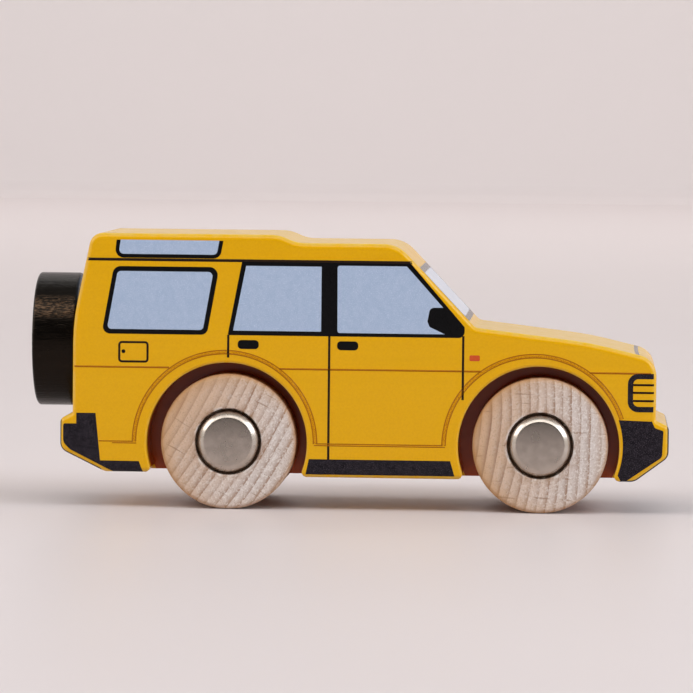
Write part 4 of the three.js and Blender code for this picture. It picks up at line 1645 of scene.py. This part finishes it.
def fibre_tree():
    inputs = [("Rim radius", "Float"), ("Count", "Int"), ("Length", "Float"), ("Radius", "Float")]
    inputs += [("Place", "Vector"), ("Turn", "Vector"), ("Seed", "Int"), ("Finish", "Material")]
    tree, inlet, outlet = new_tree("frayed_fibres", inputs)
    ask = inlet.outputs
    ring = {"Resolution": FRAY_CIRCLE_FACETS, "Radius": ask["Rim radius"]}
    rim = add(tree, "GeometryNodeCurvePrimitiveCircle", ring)
    spread = {"Curve": rim.outputs[0], "Count": ask["Count"]}
    points = add(tree, "GeometryNodeCurveToPoints", spread, mode="COUNT").outputs["Points"]
    either_way = {0: (-1, -1, -1), 1: (1, 1, 1), "Seed": ask["Seed"]}
    reach = add(tree, "FunctionNodeRandomValue", either_way, data_type="FLOAT_VECTOR").outputs[0]
    stray = {0: reach, 1: [most * MM for most in FIBRE_STRAY]}
    offset = add(tree, "ShaderNodeVectorMath", stray, operation="MULTIPLY").outputs[0]
    moved = add(tree, "GeometryNodeSetPosition", {"Geometry": points, "Offset": offset}).outputs[0]
    shape = {"Vertices": FIBRE_SIDES, "Depth": ask["Length"]}
    shape |= {"Radius Top": 0.0, "Radius Bottom": ask["Radius"]}
    fibre = add(tree, "GeometryNodeMeshCone", shape).outputs[0]
    leans = {0: (-FIBRE_LEAN, -FIBRE_LEAN, 0), 1: (FIBRE_LEAN, FIBRE_LEAN, FULL_TURN), "Seed": ask["Seed"]}
    lean = add(tree, "FunctionNodeRandomValue", leans, data_type="FLOAT_VECTOR").outputs[0]
    sizes = {2: SHORTEST_FIBRE, 3: 1.0, "Seed": ask["Seed"]}
    size = add(tree, "FunctionNodeRandomValue", sizes, data_type="FLOAT").outputs[1]
    turn = add(tree, "FunctionNodeEulerToRotation", {0: lean}).outputs[0]
    each = {"Points": moved, "Instance": fibre, "Rotation": turn, "Scale": size}
    hairs = add(tree, "GeometryNodeInstanceOnPoints", each).outputs[0]
    way = add(tree, "FunctionNodeEulerToRotation", {0: ask["Turn"]}).outputs[0]
    move = {"Geometry": hairs, "Translation": ask["Place"], "Rotation": way}
    placed = add(tree, "GeometryNodeTransform", move)
    end_tree(tree, outlet, placed.outputs[0], ask["Finish"])
    return tree


FRAYED = fibre_tree()
print("tree", FRAYED.name, "with", len(FRAYED.nodes), "nodes")

# %% A frayed lip on each wheel
FRAY_OUTSIDE_RECESS = 0.12
FRAY_BELOW_FACE = 0.12
FIRST_FRAY_SEED = 11
for seed, place_name in enumerate(GRAIN, FIRST_FRAY_SEED):
    node = "wheel_" + place_name
    low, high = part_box(node)
    middle = (low + high) / 2
    outer = high.y if middle.y > 0 else low.y
    fray = new_object("fray_" + node, bpy.data.meshes.new("fray_" + node))
    modifier = fray.modifiers.new("fray", "NODES")
    modifier.node_group = FRAYED
    set_inputs(
        modifier,
        rim_radius=(RECESS_RADIUS + FRAY_OUTSIDE_RECESS) * MM,
        count=FIBRES,
        length=FIBRE_LENGTH * MM,
        radius=FIBRE_RADIUS * MM,
        place=Vector((middle.x, outer - math.copysign(FRAY_BELOW_FACE * MM, middle.y), middle.z)),
        turn=TO_LEFT if middle.y > 0 else TO_RIGHT,
        seed=seed,
        finish=FIBRE,
    )
    fray = apply_modifiers(fray)
    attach(fray, f"{place_name}_wheel")
    print(f"{fray.name}: {len(fray.data.polygons)} faces")

# %% [markdown]
# ## Caps, axles and washers
# A cap is pressed from thin sheet. Its crown is almost flat and its shoulder slopes off all round, so the
# shoulder mirrors the lights as one bright band. The axles run through the block, and a star washer inside
# each cap grips the end.

# %% A cap's section
CAP_WALL = 0.45
CAP_SHOULDER = 1.6
CAP_DOME = 0.12
CAP_CROWN = 4.4
CROWN_BEND = 0.35
LIP_BEND = 0.25
SHOULDER_DEG = (28.0, 56.0)
CROWN_SHARES = (0, 0.2, 0.4, 0.6, 0.8, 0.9, 1.0)


def bend_from(point, radius, from_deg, to_deg):
    """An arc that starts at a point, whose outward direction turns from one angle to another."""
    angle = math.radians(from_deg)
    x = point[0] - radius * math.cos(angle)
    y = point[1] - radius * math.sin(angle)
    return arc(x, y, radius, from_deg, to_deg)


def cap_profile(radius, height):
    """A cap's section from the middle of its inside, over the rim, to the middle of its crown."""
    inner = CAP_SHOULDER - CAP_WALL
    centre = height - CAP_DOME - CAP_SHOULDER
    inside = [(0, centre + inner), *arc(radius - CAP_SHOULDER, centre, inner, 90, 0), (radius - CAP_WALL, 0)]
    crown = [(CAP_CROWN * share, height - CAP_DOME * share**2) for share in CROWN_SHARES]
    crown_deg = 90 - math.degrees(2 * CAP_DOME / CAP_CROWN)
    upper_deg, lower_deg = (90 - lean for lean in SHOULDER_DEG)
    crease = bend_from(crown[-1], CROWN_BEND, crown_deg, upper_deg)
    shoulder_room = radius - crease[-1][0] - LIP_BEND * (1 - math.cos(math.radians(lower_deg)))
    cosines = [math.cos(math.radians(angle)) for angle in (lower_deg, upper_deg)]
    shoulder = bend_from(crease[-1], shoulder_room / (cosines[0] - cosines[1]), upper_deg, lower_deg)
    lip = bend_from(shoulder[-1], LIP_BEND, lower_deg, 0)
    outside = crown + crease[1:] + shoulder[1:] + lip[1:] + [(radius, 0)]
    return inside + outside[::-1]


print(f"a cap's shoulder slopes from {SHOULDER_DEG[0]:.0f} to {SHOULDER_DEG[1]:.0f} degrees")

# %% Axles and caps
AXLE_CHAMFER = 0.4
for end in ("front", "rear"):
    rod = f"{end}_axle"
    low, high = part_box(rod)
    radius = (high.z - low.z) / 2 / MM
    length = (high.y - low.y) / MM
    bevel = radius - AXLE_CHAMFER
    profile = [(0, 0), (bevel, 0), (radius, AXLE_CHAMFER)]
    profile += [(radius, length - AXLE_CHAMFER), (bevel, length), (0, length)]
    place = Vector((middle_of(rod).x, low.y, middle_of(rod).z))
    axle = smooth(turned("drawn_" + rod, profile, place, TO_LEFT, STEEL, ROD_FACETS, closed=False))
    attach(axle, f"{end}_axle_set")
    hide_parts(rod)
    for side in ("left", "right"):
        node = f"hub_cap_{end}_{side}"
        low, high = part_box(node)
        place, turn = inner_face(node)
        profile = cap_profile((high.z - low.z) / 2 / MM, (high.y - low.y) / MM)
        cap = smooth(turned("pressed_" + node, profile, place, turn, NICKEL, CAP_FACETS, closed=False))
        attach(cap, f"{end}_axle_set")
        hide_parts(node)
        print(f"{cap.name}: {len(cap.data.polygons)} faces")

# %% [markdown]
# ## The spare wheel
# The spare is a plain disc of wood painted black, with its grain running from front to back, so its rim
# shows long streaks. A blind hole in its flat front takes the dowel that holds it to the tail.

# %% Spare wheel
SPARE_EDGE = 0.6
spare_low, spare_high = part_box("spare_wheel")
spare_radius = (spare_high.z - spare_low.z) / 2 / MM
spare_thickness = (spare_high.x - spare_low.x) / MM
hole_depth = (spare_high.x - dowel_low.x) / MM + DOWEL_END_GAP

profile = [(0, hole_depth), (hole_radius, hole_depth), (hole_radius, 0)]
profile += arc(spare_radius - SPARE_EDGE, SPARE_EDGE, SPARE_EDGE, -90, 0)
profile += arc(spare_radius - SPARE_EDGE, spare_thickness - SPARE_EDGE, SPARE_EDGE, 0, 90)
profile += [(0, spare_thickness)]
spare_place = Vector((spare_high.x, 0, (spare_low.z + spare_high.z) / 2))
spare = turned("painted_spare_wheel", profile, spare_place, TO_REAR, BLACK, WHEEL_FACETS, closed=False)
spare = smooth(spare)
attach(spare, "car_body")
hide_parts("spare_wheel")
print(f"{spare.name}: {len(spare.data.polygons)} faces")

# %% [markdown]
# ## Pieces kept from the frame
# The star washers and the dowel are hidden inside, and their shape in the frame is right. They only get a
# finish. Last of all the box of the dressed car is printed.

# %% Finishes on the pieces that stay as they are in the frame
DOWEL_GRAIN = (0, 44.0)
KEPT = {f"star_washer_{end}_{side}": STEEL for end in ("front", "rear") for side in ("left", "right")}
KEPT["spare_wheel_dowel"] = end_grain("beech_dowel", middle_of("spare_wheel_dowel"), *DOWEL_GRAIN)
for node, finish in KEPT.items():
    mesh = bpy.data.objects[node].data
    mesh.materials.clear()
    mesh.materials.append(finish)
print("kept:", ", ".join(KEPT))

# %% Box of the finished model
low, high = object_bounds()
print("dressed car:", ", ".join(f"{size / MM:.1f}" for size in high - low), "mm")
